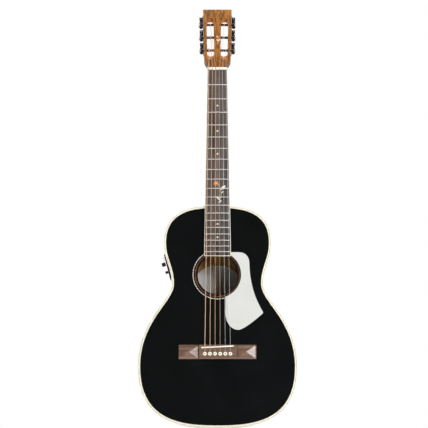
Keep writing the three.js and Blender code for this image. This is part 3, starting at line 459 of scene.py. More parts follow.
def wood_grain() -> bpy.types.NodeTree:
    """Fibres, bands of colour and open pores, for a vector that is already stretched along the grain."""

    def build(w: Wiring, given: object, out: object) -> None:
        """Wires the group."""
        bands = w.noise(given["Vector"], 1.1, 4, 0.55, 0.9)
        fibres = w.noise(given["Vector"], 9.0, 3, 0.6)
        pores = w.noise(given["Vector"], 17.0, 2, 0.7)
        streak = w.ramp(bands, 0.36, 0.66)
        tone = w.mix(streak, given["Light"], given["Dark"])
        fibre = w.ramp(fibres, 0.3, 0.7, 0.0, 0.5)
        tone = w.mix(fibre, tone, w.mix(0.5, tone, given["Dark"]))
        pore = w.math("MULTIPLY", w.ramp(pores, 0.58, 0.68), given["Pores"])
        w.feed(out["Color"], w.mix(pore, tone, w.mix(0.72, tone, (0.0, 0.0, 0.0))))
        w.feed(out["Height"], w.math("SUBTRACT", w.math("MULTIPLY", fibres, 0.35), pore))
        w.feed(out["Streak"], streak)

    inputs = [("INPUT", "Vector", "Vector"), ("INPUT", "Light", "Color"), ("INPUT", "Dark", "Color")]
    outputs = [("OUTPUT", "Color", "Color"), ("OUTPUT", "Height", "Float"), ("OUTPUT", "Streak", "Float")]
    return shader_group("wood_grain", [*inputs, ("INPUT", "Pores", "Float"), *outputs], build)


def handling_marks() -> bpy.types.NodeTree:
    """Smudges, hairline scratches and slight waviness on a finished surface."""

    def build(w: Wiring, given: object, out: object) -> None:
        """Wires the group."""
        smudge = w.ramp(w.noise(given["Vector"], 14.0, 5, 0.6, 0.4), 0.42, 0.72)
        lines = w.noise(w.stretched(given["Vector"], (900.0, 260.0, 22.0)), 1.0, 2, 0.5)
        crossed = w.noise(w.stretched(given["Vector"], (60.0, 260.0, 700.0)), 1.0, 2, 0.5)
        hairs = w.math("MAXIMUM", w.ramp(lines, 0.64, 0.7), w.ramp(crossed, 0.66, 0.72))
        rough = w.math("ADD", given["Roughness"], w.math("MULTIPLY", smudge, given["Amount"]))
        rough = w.math("ADD", rough, w.math("MULTIPLY", hairs, w.math("MULTIPLY", given["Amount"], 0.7)))
        w.feed(out["Roughness"], rough)
        wave = w.noise(given["Vector"], 9.0, 1, 0.4)
        w.feed(out["Height"], w.math("SUBTRACT", wave, w.math("MULTIPLY", hairs, 0.02)))
        w.feed(out["Smudge"], smudge)

    inputs = [("INPUT", "Vector", "Vector"), ("INPUT", "Roughness", "Float"), ("INPUT", "Amount", "Float")]
    outputs = [("OUTPUT", "Roughness", "Float"), ("OUTPUT", "Height", "Float"), ("OUTPUT", "Smudge", "Float")]
    return shader_group("handling_marks", [*inputs, *outputs], build)


def shell_figure() -> bpy.types.NodeTree:
    """The broken, drifting colours of a slice of shell."""

    def build(w: Wiring, given: object, out: object) -> None:
        """Wires the group."""
        cells = w.node("TexVoronoi", {"Vector": given["Vector"], "Scale": given["Scale"]})
        drift = w.noise(given["Vector"], 160.0, 3, 0.6, 1.2)
        cool = w.mix(w.ramp(drift, 0.4, 0.62), given["Base"], (0.56, 0.66, 0.66))
        warm = w.mix(w.ramp(cells.outputs["Distance"], 0.2, 0.8, 0.0, 0.6), cool, (0.8, 0.66, 0.5))
        w.feed(out["Color"], warm)
        w.feed(out["Height"], cells.outputs["Distance"])

    inputs = [("INPUT", "Vector", "Vector"), ("INPUT", "Scale", "Float"), ("INPUT", "Base", "Color")]
    outputs = [("OUTPUT", "Color", "Color"), ("OUTPUT", "Height", "Float")]
    return shader_group("shell_figure", [*inputs, *outputs], build)


# ------------------------------------------------------------------ finishes
@dataclass(frozen=True)
class Finish:
    """A surface finish. Its material is built once and shared."""

    name: str
    roughness: float = 0.35
    marks: float = 0.08
    bump: float = 0.03
    metallic: float = 0.0
    coat: float = 0.0
    coat_roughness: float = 0.05

    def material(self) -> bpy.types.Material:
        """The finish as a material."""
        found = bpy.data.materials.get(self.name)
        if found:
            return found
        made = bpy.data.materials.new(self.name)
        made.use_nodes = True
        made.node_tree.nodes.clear()
        w = Wiring(made.node_tree)
        where = w.node("TexCoord").outputs["Object"]
        surface = w.node("BsdfPrincipled")
        surface.inputs["Metallic"].default_value = self.metallic
        surface.inputs["Coat Weight"].default_value = self.coat
        surface.inputs["Coat Roughness"].default_value = self.coat_roughness
        marks = w.node("Group", node_tree=handling_marks())
        for name, value in (("Vector", where), ("Roughness", self.roughness), ("Amount", self.marks)):
            w.feed(marks.inputs[name], value)
        colour, height = self.pattern(w, where, marks.outputs)
        w.feed(surface.inputs["Base Color"], colour)
        w.feed(surface.inputs["Roughness"], marks.outputs["Roughness"])
        relief = w.node("Bump", {"Height": height, "Strength": self.bump, "Distance": 0.0006})
        w.feed(surface.inputs["Normal"], relief.outputs[0])
        output = w.node("OutputMaterial")
        w.feed(output.inputs["Surface"], surface.outputs[0])
        return made

    def pattern(self, w: Wiring, where: object, marks: object) -> tuple[object, object]:
        """The colour and height of the finish.

        Args:
            w: the material's wiring.
            where: the place on the guitar.
            marks: the outputs of the handling marks.

        Returns:
            The sockets of its colour and its height.
        """
        raise NotImplementedError

    def dress(self, *pieces: Piece) -> None:
        """Gives pieces this finish alone."""
        for piece in pieces:
            piece.data.materials.clear()
            piece.data.materials.append(self.material())

    def dress_node(self, *nodes: str) -> None:
        """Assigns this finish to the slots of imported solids."""
        for node in nodes:
            piece = bpy.data.objects[node]
            if not piece.material_slots:
                piece.data.materials.append(self.material())
            for slot in piece.material_slots:
                slot.material = self.material()


@dataclass(frozen=True)
class Plain(Finish):
    """Plastic, lacquer, bone or metal: two close tones that drift, with the height of its marks."""

    tone: Colour = (0.5, 0.5, 0.5)
    drift: Colour = (0.45, 0.45, 0.45)
    scale: float = 24.0
    grit: float = 0.0

    def pattern(self, w: Wiring, where: object, marks: object) -> tuple[object, object]:
        """The drifting tone, with the smudges a little duller."""
        cloud = w.ramp(w.noise(where, self.scale, 4, 0.55, 0.6), 0.35, 0.68)
        colour = w.mix(cloud, self.tone, self.drift)
        colour = w.mix(w.math("MULTIPLY", marks["Smudge"], 0.25), colour, self.drift)
        height = marks["Height"]
        if self.grit:
            height = w.math("ADD", height, w.math("MULTIPLY", w.noise(where, 2600.0, 2, 0.6), self.grit))
        return colour, height


@dataclass(frozen=True)
class Layered(Finish):
    """Celluloid or bone with faint parallel layers."""

    tone: Colour = (0.79, 0.75, 0.63)
    line: Colour = (0.70, 0.65, 0.51)
    layers: Sequence[float] = (160.0, 160.0, 9.0)

    def pattern(self, w: Wiring, where: object, marks: object) -> tuple[object, object]:
        """Faint lines along the piece."""
        lines = w.noise(w.stretched(where, self.layers), 2.0, 3, 0.5, 0.3)
        return w.mix(w.ramp(lines, 0.42, 0.7), self.tone, self.line), marks["Height"]


@dataclass(frozen=True)
class Timber(Finish):
    """Wood, by the colours of its light and dark bands, its pores and the way of its grain."""

    light: Colour = (0.4, 0.2, 0.1)
    dark: Colour = (0.1, 0.05, 0.03)
    pores: float = 0.5
    grain: Grain = Grain.UPRIGHT
    fineness: float = 1.0

    def pattern(self, w: Wiring, where: object, marks: object) -> tuple[object, object]:
        """Bands, fibres and pores."""
        stretch = [value * self.fineness for value in self.grain.value]
        grain = w.node("Group", node_tree=wood_grain())
        for name, value in (("Light", self.light), ("Dark", self.dark), ("Pores", self.pores)):
            w.feed(grain.inputs[name], value)
        w.feed(grain.inputs["Vector"], w.stretched(where, stretch))
        patch = w.ramp(w.noise(where, 11.0, 2, 0.5), 0.35, 0.7, 0.0, 0.35)
        return w.mix(patch, grain.outputs["Color"], self.dark), grain.outputs["Height"]


@dataclass(frozen=True)
class Shell(Finish):
    """Shell or a printed imitation of it."""

    base: Colour = (0.75, 0.72, 0.62)
    scale: float = 420.0

    def pattern(self, w: Wiring, where: object, marks: object) -> tuple[object, object]:
        """Drifting, broken colours."""
        shell = w.node("Group", node_tree=shell_figure())
        for name, value in (("Vector", where), ("Scale", self.scale), ("Base", self.base)):
            w.feed(shell.inputs[name], value)
        return shell.outputs["Color"], shell.outputs["Height"]


@dataclass(frozen=True)
class Wound(Finish):
    """Wire wound round a core, with its turns across the string and painted shade between them."""

    tone: Colour = (0.80, 0.52, 0.32)
    # the dark tone of the painted shade between the turns, which the tarnish also drifts towards
    groove_shade_and_tarnish: Colour = (0.36, 0.20, 0.11)
    turns: float = 1100.0

    def pattern(self, w: Wiring, where: object, marks: object) -> tuple[object, object]:
        """Fine turns with painted shade between them, and tarnish drifting along the string."""
        turns = w.node("TexWave", {"Vector": where, "Scale": self.turns}, bands_direction="Z")
        tarnish = w.ramp(w.noise(where, 30.0, 3, 0.5), 0.4, 0.7, 0.0, 0.45)
        # painted shade: between the turns the colour falls halfway to the dark tone
        colour = w.mix(w.ramp(turns.outputs["Fac"], 0.0, 0.5, 0.5, 0.0), self.tone, self.groove_shade_and_tarnish)
        return w.mix(tarnish, colour, self.groove_shade_and_tarnish), turns.outputs["Fac"]


LACQUER = Plain(
    "black_lacquer_finish", 0.09, 0.05, 0.010, coat=0.3,
    tone=(0.0025, 0.0027, 0.0028), drift=(0.004, 0.0044, 0.0046), scale=6.0,
)
CREAM = Layered("cream_binding_finish", 0.26, 0.06, 0.02, coat=0.3)
PURFLING = Plain(
    "dark_line_finish", 0.22, 0.05, 0.02,
    tone=(0.004, 0.004, 0.004), drift=(0.009, 0.008, 0.007), scale=60.0,
)
GUARD = Plain(
    "white_guard_finish", 0.28, 0.05, 0.012,
    tone=(0.60, 0.60, 0.575), drift=(0.575, 0.575, 0.55), scale=9.0,
)
BONE = Layered(
    "bone_finish", 0.3, 0.06, 0.02,
    tone=(0.87, 0.84, 0.75), line=(0.8, 0.75, 0.63), layers=(9.0, 200.0, 200.0),
)
PIN_CREAM = Layered("pin_cream_finish", 0.28, 0.06, 0.02, tone=(0.86, 0.81, 0.70), line=(0.78, 0.71, 0.57))
AMBER = Timber(
    "amber_veneer_finish", 0.3, 0.05, 0.05, coat=0.15,
    light=(0.50, 0.18, 0.006), dark=(0.075, 0.020, 0.002), pores=0.3, grain=Grain.STRAIGHT,
)
NECK_WOOD = Timber(
    "stained_neck_finish", 0.38, 0.07, 0.06,
    light=(0.030, 0.016, 0.010), dark=(0.009, 0.005, 0.004), pores=0.4,
)
ROSEWOOD = Timber(
    "fingerboard_finish", 0.5, 0.08, 0.25,
    light=(0.150, 0.112, 0.098), dark=(0.016, 0.011, 0.010), pores=0.8, fineness=1.5,
)
BRIDGE_WOOD = Timber(
    "bridge_wood_finish", 0.42, 0.08, 0.2,
    light=(0.27, 0.145, 0.085), dark=(0.060, 0.030, 0.019), pores=0.7, grain=Grain.CROSSWISE, fineness=1.6,
    coat=0.6, coat_roughness=0.22,
)
RAW_NECK = Timber(
    "bare_neck_finish", 0.45, 0.05, 0.08,
    light=(0.82, 0.25, 0.008), dark=(0.34, 0.07, 0.006), pores=0.3,
)
SPRUCE = Timber(
    "bare_spruce_finish", 0.75, 0.05, 0.15,
    light=(0.60, 0.40, 0.20), dark=(0.40, 0.23, 0.10), pores=0.1, fineness=2.0,
)
CROSS_SPRUCE = Timber(
    "brace_spruce_finish", 0.75, 0.05, 0.15,
    light=(0.60, 0.40, 0.20), dark=(0.42, 0.25, 0.11), pores=0.1, grain=Grain.CROSSWISE, fineness=1.6,
)
MAHOGANY = Timber(
    "bare_mahogany_finish", 0.65, 0.06, 0.2,
    light=(0.56, 0.29, 0.07), dark=(0.27, 0.115, 0.026), pores=0.6,
)
PAPER = Plain(
    "label_paper_finish", 0.8, 0.05, 0.02,
    tone=(0.66, 0.65, 0.63), drift=(0.60, 0.59, 0.56), scale=40.0, grit=0.1,
)
TORTOISE = Timber(
    "tortoise_ring_finish", 0.25, 0.04, 0.02, coat=0.2,
    light=(0.34, 0.115, 0.030), dark=(0.055, 0.014, 0.007), pores=0.0, fineness=1.4,
)
PEARL_RING = Shell("pearl_ring_finish", 0.22, 0.05, 0.03, coat=0.5, base=(0.88, 0.86, 0.78), scale=250.0)
ORANGE = Plain(
    "orange_inlay_finish", 0.25, 0.05, 0.02, coat=0.5,
    tone=(0.80, 0.26, 0.025), drift=(0.62, 0.15, 0.012), scale=260.0,
)
LEAF = Shell("leaf_inlay_finish", 0.25, 0.05, 0.03, coat=0.5, base=(0.82, 0.72, 0.50), scale=500.0)
BLACK_METAL = Plain(
    "black_plated_finish", 0.26, 0.10, 0.02, metallic=0.6,
    tone=(0.016, 0.016, 0.017), drift=(0.04, 0.036, 0.032), scale=150.0,
)
NICKEL = Plain(
    "smoked_nickel_finish", 0.28, 0.14, 0.02, metallic=1.0,
    tone=(0.42, 0.36, 0.29), drift=(0.16, 0.13, 0.10), scale=150.0,
)
FRET_METAL = Plain(
    "fret_metal_finish", 0.22, 0.14, 0.02, metallic=1.0,
    tone=(0.74, 0.73, 0.70), drift=(0.60, 0.58, 0.55), scale=180.0,
)
STEEL = Plain(
    "plain_steel_finish", 0.35, 0.1, 0.01, metallic=0.1,
    tone=(0.80, 0.78, 0.76), drift=(0.66, 0.64, 0.62), scale=80.0,
)
BRONZE = Wound("wound_bronze_finish", 0.36, 0.1, 0.25, metallic=0.2)
BUTTON = Plain(
    "polished_black_finish", 0.3, 0.07, 0.01,
    tone=(0.006, 0.006, 0.0065), drift=(0.014, 0.013, 0.012), scale=90.0,
)
MOULDED = Plain(
    "moulded_black_finish", 0.5, 0.08, 0.12,
    tone=(0.005, 0.005, 0.0055), drift=(0.009, 0.009, 0.009), scale=70.0, grit=0.8,
)
DOT = Plain(
    "dark_dot_finish", 0.35, 0.05, 0.02,
    tone=(0.03, 0.028, 0.026), drift=(0.06, 0.055, 0.05), scale=200.0,
)
LAMP = Plain(
    "indicator_finish", 0.2, 0.03, 0.01,
    tone=(0.30, 0.02, 0.015), drift=(0.2, 0.01, 0.01), scale=400.0,
)
FLOOR = Plain(
    "pale_floor_finish", 0.7, 0.05, 0.02,
    tone=(0.82, 0.82, 0.81), drift=(0.78, 0.78, 0.77), scale=1.5,
)


# ------------------------------------------------------------------ the pieces
def fret_at(number: int) -> float:
    """Distance of a fret from the nut."""
    return SCALE * (1 - 2 ** (-number / 12))


def before_fret(number: int) -> float:
    """Place of the middle between a fret and the one before it."""
    return -(fret_at(number) + fret_at(number - 1)) / 2


def string_x(index: int, spread: float) -> float:
    """Place of a string across the guitar, counted from the bass side, where all six spread so far."""
    return spread * (index / 5 - 0.5)


@dataclass
class Assembly:
    """Part of the guitar, with the pieces it has made."""

    body: str = "root"
    made: list[Piece] = field(default_factory=list)

    def keep(self, piece: Piece, finish: Finish, slot: str, place: Optional[Matrix] = DRAWING) -> None:
        """Places, finishes and fixes a new piece.

        Args:
            piece: the mesh, in its drawing frame.
            finish: what covers it.
            slot: a slot name for that finish; not used.
            place: its drawing frame, or None if it is in its place already.
        """
        if place is not None:
            settle(piece, place)
        finish.dress(piece)
        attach(piece, self.body)
        self.made.append(piece)

    def report(self) -> None:
        """Logs each piece with its triangles."""
        for piece in self.made:
            piece.data.calc_loop_triangles()
            LOG.info("%s: %s, %d triangles", type(self).__name__, piece.name, len(piece.data.loop_triangles))


@dataclass
class Body(Assembly):
    """The hollow body: plates, sides, bindings, linings, braces and blocks."""

    top_edge: float = -315.0
    length: float = 489.0
    upper: float = 119.7
    waist: float = 101.4
    lower: float = 174.2
    heights: tuple[float, float, float] = (81.6, 176.2, 355.3)
    depth_at_neck: float = 97.0
    deepening: float = 10.0
    plate_thickness: float = 3.0
    binding_wall: float = 2.1
    hole: Pair = HOLE
    hole_radius: float = 44.0

    def build(self) -> None:
        """Makes the whole body."""
        self.plates()
        self.sides()
        self.bindings()
        self.inside()

    def outline(self, inset: float, steps: int = 22) -> list[Pair]:
        """The body's outline, drawn in from its edge by an inset."""
        upper, waist, lower = self.upper, self.waist, self.lower
        first, second, third = self.heights
        fall, rise, tail = second - first, third - second, self.length - third
        curves = [
            ((0, 0), (0.223 * upper, 0), (upper, -0.067 * first), (upper, first)),
            ((upper, first), (upper, first + 0.416 * fall), (waist, second - 0.394 * fall), (waist, second)),
            ((waist, second), (waist, second + 0.2 * rise), (lower, third - 0.556 * rise), (lower, third)),
            ((lower, third), (lower, third + 0.966 * tail), (0.397 * lower, self.length), (0, self.length)),
        ]
        half = [(0.0, 0.0)]
        for curve in curves:
            half += bezier(*curve, steps)
        ring = half + [(-x, below) for x, below in reversed(half[1:-1])]
        inner = []
        for i, (x, below) in enumerate(ring):
            before, after = ring[i - 1], ring[(i + 1) % len(ring)]
            along = Vector((after[0] - before[0], after[1] - before[1])).normalized()
            inner.append((x - along.y * inset, self.top_edge - (below + along.x * inset)))
        return inner

    def back(self, y: float) -> float:
        """Height of the back's outer face at a place along the body."""
        return -(self.depth_at_neck + self.deepening * (self.top_edge - y) / self.length)

    def follow_back(self, piece: Piece) -> None:
        """Slants the lower part of a flat piece along the back."""
        for vertex in piece.data.vertices:
            if vertex.co.z < -50:
                vertex.co.z += self.back(vertex.co.y) + 100

    def two_faced(self, piece: Piece, finish: Finish, inward: Callable) -> None:
        """Gives the faces that look into the body a bare finish."""
        piece.data.materials.append(finish.material())
        for face in piece.data.polygons:
            if inward(face):
                face.material_index = 1

    def plates(self) -> None:
        """The soundboard with its hole, and the slanted back."""
        opening = circle(self.hole_radius, 96, self.hole)
        board = plate("soundboard_plate", [self.outline(5.2), opening], -self.plate_thickness, 0, 0.1)
        self.keep(board, LACQUER, "black_lacquer")
        self.two_faced(board, SPRUCE, lambda face: face.normal.y > 0.9)
        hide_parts("soundboard")
        back = plate("back_plate_sheet", [self.outline(2.2)], -100, -97)
        self.follow_back(back)
        self.keep(back, LACQUER, "black_lacquer")
        self.two_faced(back, MAHOGANY, lambda face: face.normal.y < -0.9)
        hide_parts("back_plate")

    def sides(self) -> None:
        """The bent sides, in two halves that meet at the tail and the heel."""
        wall = plate("bent_sides", [self.outline(0.0), self.outline(2.4)], -93.4, -6.6)
        self.follow_back(wall)
        self.keep(wall, LACQUER, "black_lacquer")
        wall.data.materials.append(MAHOGANY.material())
        middle = Vector((0, 0, -0.58))
        for face in wall.data.polygons:
            out = face.center - middle
            if abs(face.normal.y) < 0.4 and Vector((out.x, 0, out.z)).dot(face.normal) < 0:
                face.material_index = 1
        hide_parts("bass_side", "treble_side")

    def bindings(self) -> None:
        """Cream bindings with a dark purfling line on the soundboard."""
        strip = [self.outline(0.0), self.outline(self.binding_wall)]
        edge = plate("top_binding_strip", strip, -6.5, 0, 0.5)
        self.keep(edge, CREAM, "cream_binding")
        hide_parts("top_binding")
        line = plate("purfling_line", [self.outline(self.binding_wall), self.outline(2.35)], -2.9, 0.0)
        self.keep(line, PURFLING, "black_lacquer")
        inner = plate("purfling_strip", [self.outline(2.35), self.outline(5.2)], -2.9, 0.0)
        self.keep(inner, CREAM, "cream_binding")
        low = plate("back_binding_strip", strip, -100, -93.5, 0.5)
        self.follow_back(low)
        self.keep(low, CREAM, "cream_binding")
        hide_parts("back_binding")

    def inside(self) -> None:
        """Braces, linings, blocks and a blank paper label, seen through the hole."""
        for node in ("x_brace_upper", "x_brace_lower", "transverse_brace"):
            self.keep(softened(node, 1.6, 50), CROSS_SPRUCE, "spruce", None)
        for number in (1, 2, 3):
            self.keep(softened(f"back_brace_{number}", 2.0, 50), CROSS_SPRUCE, "spruce", None)
        linings = [f"{edge}_lining_{side.label}" for edge in ("top", "back") for side in Side]
        MAHOGANY.dress_node(*linings, "neck_block", "tail_block")
        ROSEWOOD.dress_node("bridge_plate")
        STEEL.dress_node("truss_rod")
        y = self.hole[1] - 6
        oval = [(0.52 * x, 0.40 * z + y) for x, z in circle(100, 96)]
        label = plate("paper_label", [oval], -96.95, -96.6)
        for vertex in label.data.vertices:
            vertex.co.z += self.back(vertex.co.y) + 100.0
        self.keep(label, PAPER, "bone")


@dataclass
class SoundholeTrim(Assembly):
    """The rings round the soundhole, and the pickguard."""

    centre: Pair = HOLE
    rings: Sequence[tuple[str, float, float]] = (
        ("inner_dark", 46.2, 48.3), ("tortoise", 48.3, 49.7), ("dark_band", 49.7, 53.5),
        ("outer_dark", 54.9, 55.4),
    )
    guard_radius: float = 52.0
    board_side: float = 28.55
    shells: int = 54

    def build(self) -> None:
        """Makes the rings and the guard."""
        finishes = {"tortoise": TORTOISE}
        for name, inner, outer in self.rings:
            lines = [circle(outer, 128, self.centre), circle(inner, 128, self.centre)]
            ring = plate(f"rosette_{name}", lines, -1.0, 0.05)
            self.keep(ring, finishes.get(name, PURFLING), "rosette_inlay")
            if name == "tortoise":
                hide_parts("rosette")
        self.shell_ring(53.5, 54.9)
        self.guard()

    def shell_ring(self, inner: float, outer: float) -> None:
        """A ring of small shell strips with thin dark joints between them."""
        strips = []
        step = 360 / self.shells
        for number in range(self.shells):
            start, end = number * step, (number + 0.76) * step
            line = arc(outer, start, end, 3, self.centre) + arc(inner, end, start, 3, self.centre)
            strips.append(plate("shell", [line], -1.0, 0.05))
        self.keep(joined("rosette_pearl", strips), PEARL_RING, "rosette_inlay")
        bed = [circle(outer, 128, self.centre), circle(inner, 128, self.centre)]
        self.keep(plate("rosette_bed", bed, -1.0, 0.0), PURFLING, "rosette_inlay")

    def guard(self) -> None:
        """The teardrop guard, fitted round the rings and the fingerboard."""
        side, radius = self.board_side, self.guard_radius
        start = math.degrees(math.atan2(-math.sqrt(radius**2 - 17.5**2), 17.5))
        end = math.degrees(math.acos(side / radius))
        line = [(side, 50.3), (46.0, 50.0)]
        line += bezier((46, 50), (62, 50), (70, 40), (70.5, 26), 10)
        line += bezier((70.5, 26), (71, -8), (77, -42), (97.5, -79), 22)
        line += bezier((97.5, -79), (100.5, -82.3), (100.7, -85.2), (98, -87.5), 6)
        line += bezier((98, -87.5), (80, -103), (64, -116), (50, -121.5), 14)
        line += bezier((50, -121.5), (35, -126), (17, -110), (17, -84), 18)
        line += arc(radius, start, end, 56)
        placed = [(x, y + self.centre[1]) for x, y in line]
        sheet = plate("pickguard_sheet", [placed], 0.3, 1.3, 0.3)
        self.keep(sheet, GUARD, "white_guard")
        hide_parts("pickguard")


@dataclass
class Fingerboard(Assembly):
    """The crowned board with its binding, frets, dots and a sprig inlay, and the nut."""

    crown_radius: float = CROWN_RADIUS
    thickness: float = 6.0
    end: float = -429.3
    dots: Sequence[int] = (3, 5, 7, 15, 17)
    frets: int = 19
    fret_sunk: float = 0.15
    fret_section: Sequence[Pair] = (
        (-1.15, 0.0), (-1.05, 0.42), (-0.72, 0.84), (-0.26, 1.05),
        (0.26, 1.05), (0.72, 0.84), (1.05, 0.42), (1.15, 0.0),
    )

    def half_width(self, y: float) -> float:
        """Half of the board's width at a place along it."""
        return (45.0 - 10.8 / fret_at(12) * y) / 2

    def crown(self, x: float) -> float:
        """How far the crowned top falls away from its middle."""
        return -(x * x) / (2 * self.crown_radius)

    def build(self) -> None:
        """Makes the board and all that is set in it."""
        self.board()
        self.binding()
        self.set_frets()
        self.inlays()
        self.keep(self.nut_with_notches(), BONE, "bone", None)

    def board(self) -> None:
        """The board, from a grid drawn to its taper and crown."""
        bpy.ops.object.select_all(action="DESELECT")
        bpy.ops.mesh.primitive_grid_add(x_subdivisions=12, y_subdivisions=2, size=2)
        made = bpy.context.object
        made.name = "fingerboard_wood"
        for vertex in made.data.vertices:
            y = 0.0 if vertex.co.y > 0 else self.end + 1.5
            x = vertex.co.x * (self.half_width(y) - 1.5)
            vertex.co = (x, y, self.thickness + self.crown(x))
        with Editing(made):
            bpy.ops.mesh.extrude_region_move(TRANSFORM_OT_translate={"value": (0, 0, -5)})
        seal(made)
        for vertex in made.data.vertices:
            if vertex.co.z < 2:
                vertex.co.z = 0.3
        smooth(made, 25)
        self.keep(made, ROSEWOOD, "rosewood")
        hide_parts("fingerboard")

    def binding(self) -> None:
        """The cream strip round the board's sides and end, with its side dots."""
        wide, narrow = self.half_width(self.end), self.half_width(0)
        outer = [(-wide, self.end), (wide, self.end), (narrow, 0.0), (-narrow, 0.0)]
        inner = [(narrow - 1.45, -0.01), (wide - 1.45, self.end + 1.45)]
        mirrored = [(-x, y) for x, y in reversed(inner)]
        line = [*outer[:3], *inner, *mirrored, outer[3]]
        strip = plate("fingerboard_binding_strip", [line], 0.3, 5.3, 0.25)
        for vertex in strip.data.vertices:
            if vertex.co.z > 4:
                vertex.co.z += 0.55 + self.crown(vertex.co.x) * 0.8
        self.keep(strip, CREAM, "cream_binding")
        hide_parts("fingerboard_binding")
        profile = [(0, 0.08), (0.9, 0.08), (0.95, 0), (0.95, -0.6), (0, -0.6)]
        for number in (3, 5, 7, 9, 12, 15, 17):
            y = before_fret(number)
            dot = turned(f"side_dot_{number}", profile, 16)
            turn = Matrix.Translation((-self.half_width(y), y, 3.2)) @ Matrix.Rotation(-math.pi / 2, 4, "Y")
            self.keep(dot, DOT, "black_plastic", DRAWING @ turn)

    def set_frets(self) -> None:
        """Nineteen round-topped frets, each bent to the crown."""
        wires = []
        for number in range(1, self.frets + 1):
            y = -fret_at(number)
            half = self.half_width(y) - 0.5
            reach = half / self.crown_radius
            section = [(0, y + dy, self.thickness - self.fret_sunk + dz) for dy, dz in self.fret_section]
            wire = to_mesh(curve_object(f"fret_{number}", [section], True, False))
            wire.data.transform(Matrix.Translation((0, 0, self.crown_radius)))
            wire.data.transform(Matrix.Rotation(-reach, 4, "Y"))
            with Editing(wire):
                bpy.ops.mesh.edge_face_add()
                bpy.ops.mesh.spin(steps=8, angle=-2 * reach, center=(0, 0, 0), axis=(0, 1, 0))
            seal(wire, 0.001)
            wire.data.transform(Matrix.Translation((0, 0, -self.crown_radius)))
            wires.append(wire)
        frets = joined("fret_wires", wires)
        smooth(frets, 40)
        self.keep(frets, FRET_METAL, "plain_string")

    def seat(self, piece: Piece, proud: float = 0.05) -> Piece:
        """Bends a flat inlay to the crown and sets it level with the board."""
        for vertex in piece.data.vertices:
            vertex.co.z += self.thickness + self.crown(vertex.co.x) + proud
        return piece

    def inlays(self) -> None:
        """Pearl dots, and a sprig of leaves with one round flower between the eighth and twelfth frets."""
        for number in self.dots:
            y = before_fret(number)
            dot = plate(f"pearl_dot_{number}", [circle(2.1, 40, (0.0, y))], -1.0, 0.0)
            self.keep(self.seat(dot), LEAF, "bone")
        low, high = -fret_at(12) + 6, -fret_at(8) - 6
        leaves = ((0.0, 1, 0.75), (0.16, -1, 1.0), (0.5, 1, 0.6), (0.68, 1, 1.3))
        Sprig("board_sprig", (2.6, low), high - low, 11.5, leaves).grow(self, self.seat, DRAWING)

    def nut_with_notches(self) -> Piece:
        """The nut, eased at its edges and filed under each string."""
        nut = softened("nut", 0.5)
        for index in range(6):
            x = string_x(index, NUT_SPREAD)
            tool = rod("file", [(x, -4, 7.75 + self.crown(x)), (x, 10, 7.55 + self.crown(x))], 0.62)
            settle(tool, DRAWING)
            carve(nut, tool)
        smooth(nut, 40)
        return nut


@dataclass
class Sprig:
    """A curved stem with leaves to either side, a round flower and a tendril, as thin inlays."""

    name: str
    foot: Pair
    height: float
    leaf: float
    leaves: Sequence[tuple[float, int, float]]
    stature: float = 0.62
    hook: float = 0.42

    def oval(self, at: Pair, length: float, width: float, lean: float) -> list[Pair]:
        """A pointed leaf, leaning from upright by an angle in degrees."""
        side = bezier((0, 0), (width, 0.25 * length), (width * 0.8, 0.7 * length), (0, length), 8)
        loop = [(0.0, 0.0), *side, *[(-x, y) for x, y in reversed(side[:-1])]]
        c, s = math.cos(math.radians(lean)), math.sin(math.radians(lean))
        return [(at[0] + x * c + y * s, at[1] - x * s + y * c) for x, y in loop]

    def stem(self, t: float) -> Pair:
        """The place on the stem at a share of its height."""
        sway = 0.08 * self.height * math.sin(3.3 * t)
        return (self.foot[0] + sway, self.foot[1] + self.height * self.stature * t)

    def grow(self, owner: Assembly, seat: Callable, place: Matrix) -> None:
        """Makes the sprig's inlays.

        Args:
            owner: the assembly they belong to.
            seat: sets a flat inlay at its height.
            place: the drawing frame of the surface.
        """
        bend = [self.stem(i / 24) for i in range(25)]
        edge = [(x - 0.4, y) for x, y in bend] + [(x + 0.4, y) for x, y in reversed(bend)]
        curl = self.leaf * self.hook
        middle = (bend[-1][0] - curl, bend[-1][1] + curl * 0.2)
        parts = [plate("stem", [edge], -0.8, 0.0)]
        if self.hook:
            hook = arc(curl + 0.32, -10, 215, 22, middle) + arc(curl - 0.32, 215, -10, 22, middle)
            parts.append(plate("tendril", [hook], -0.8, 0.0))
        stem = joined(f"{self.name}_stem", parts)
        owner.keep(seat(stem), LEAF, "cream_binding", place)
        leaves = []
        for t, turn, share in self.leaves:
            x, y = self.stem(t)
            size = self.leaf * share
            blade = self.oval((x + turn * 0.3, y), size, size * 0.3, turn * 46)
            leaves.append(plate("leaf", [blade], -0.8, 0.01))
        owner.keep(seat(joined(f"{self.name}_leaves", leaves)), LEAF, "cream_binding", place)
        petals = []
        for i in range(5):
            angle = math.radians(90 + 72 * i)
            away = 0.25 * self.leaf
            centre = (middle[0] + away * math.cos(angle), middle[1] + away * math.sin(angle))
            petals.append(plate("petal", [circle(0.21 * self.leaf, 20, centre)], -0.8, 0.02 + 0.002 * i))
        owner.keep(seat(joined(f"{self.name}_flower", petals)), ORANGE, "rosette_inlay", place)
        heart = plate(f"{self.name}_heart", [circle(0.12 * self.leaf, 20, middle)], -0.8, 0.05)
        owner.keep(seat(heart), LEAF, "cream_binding", place)


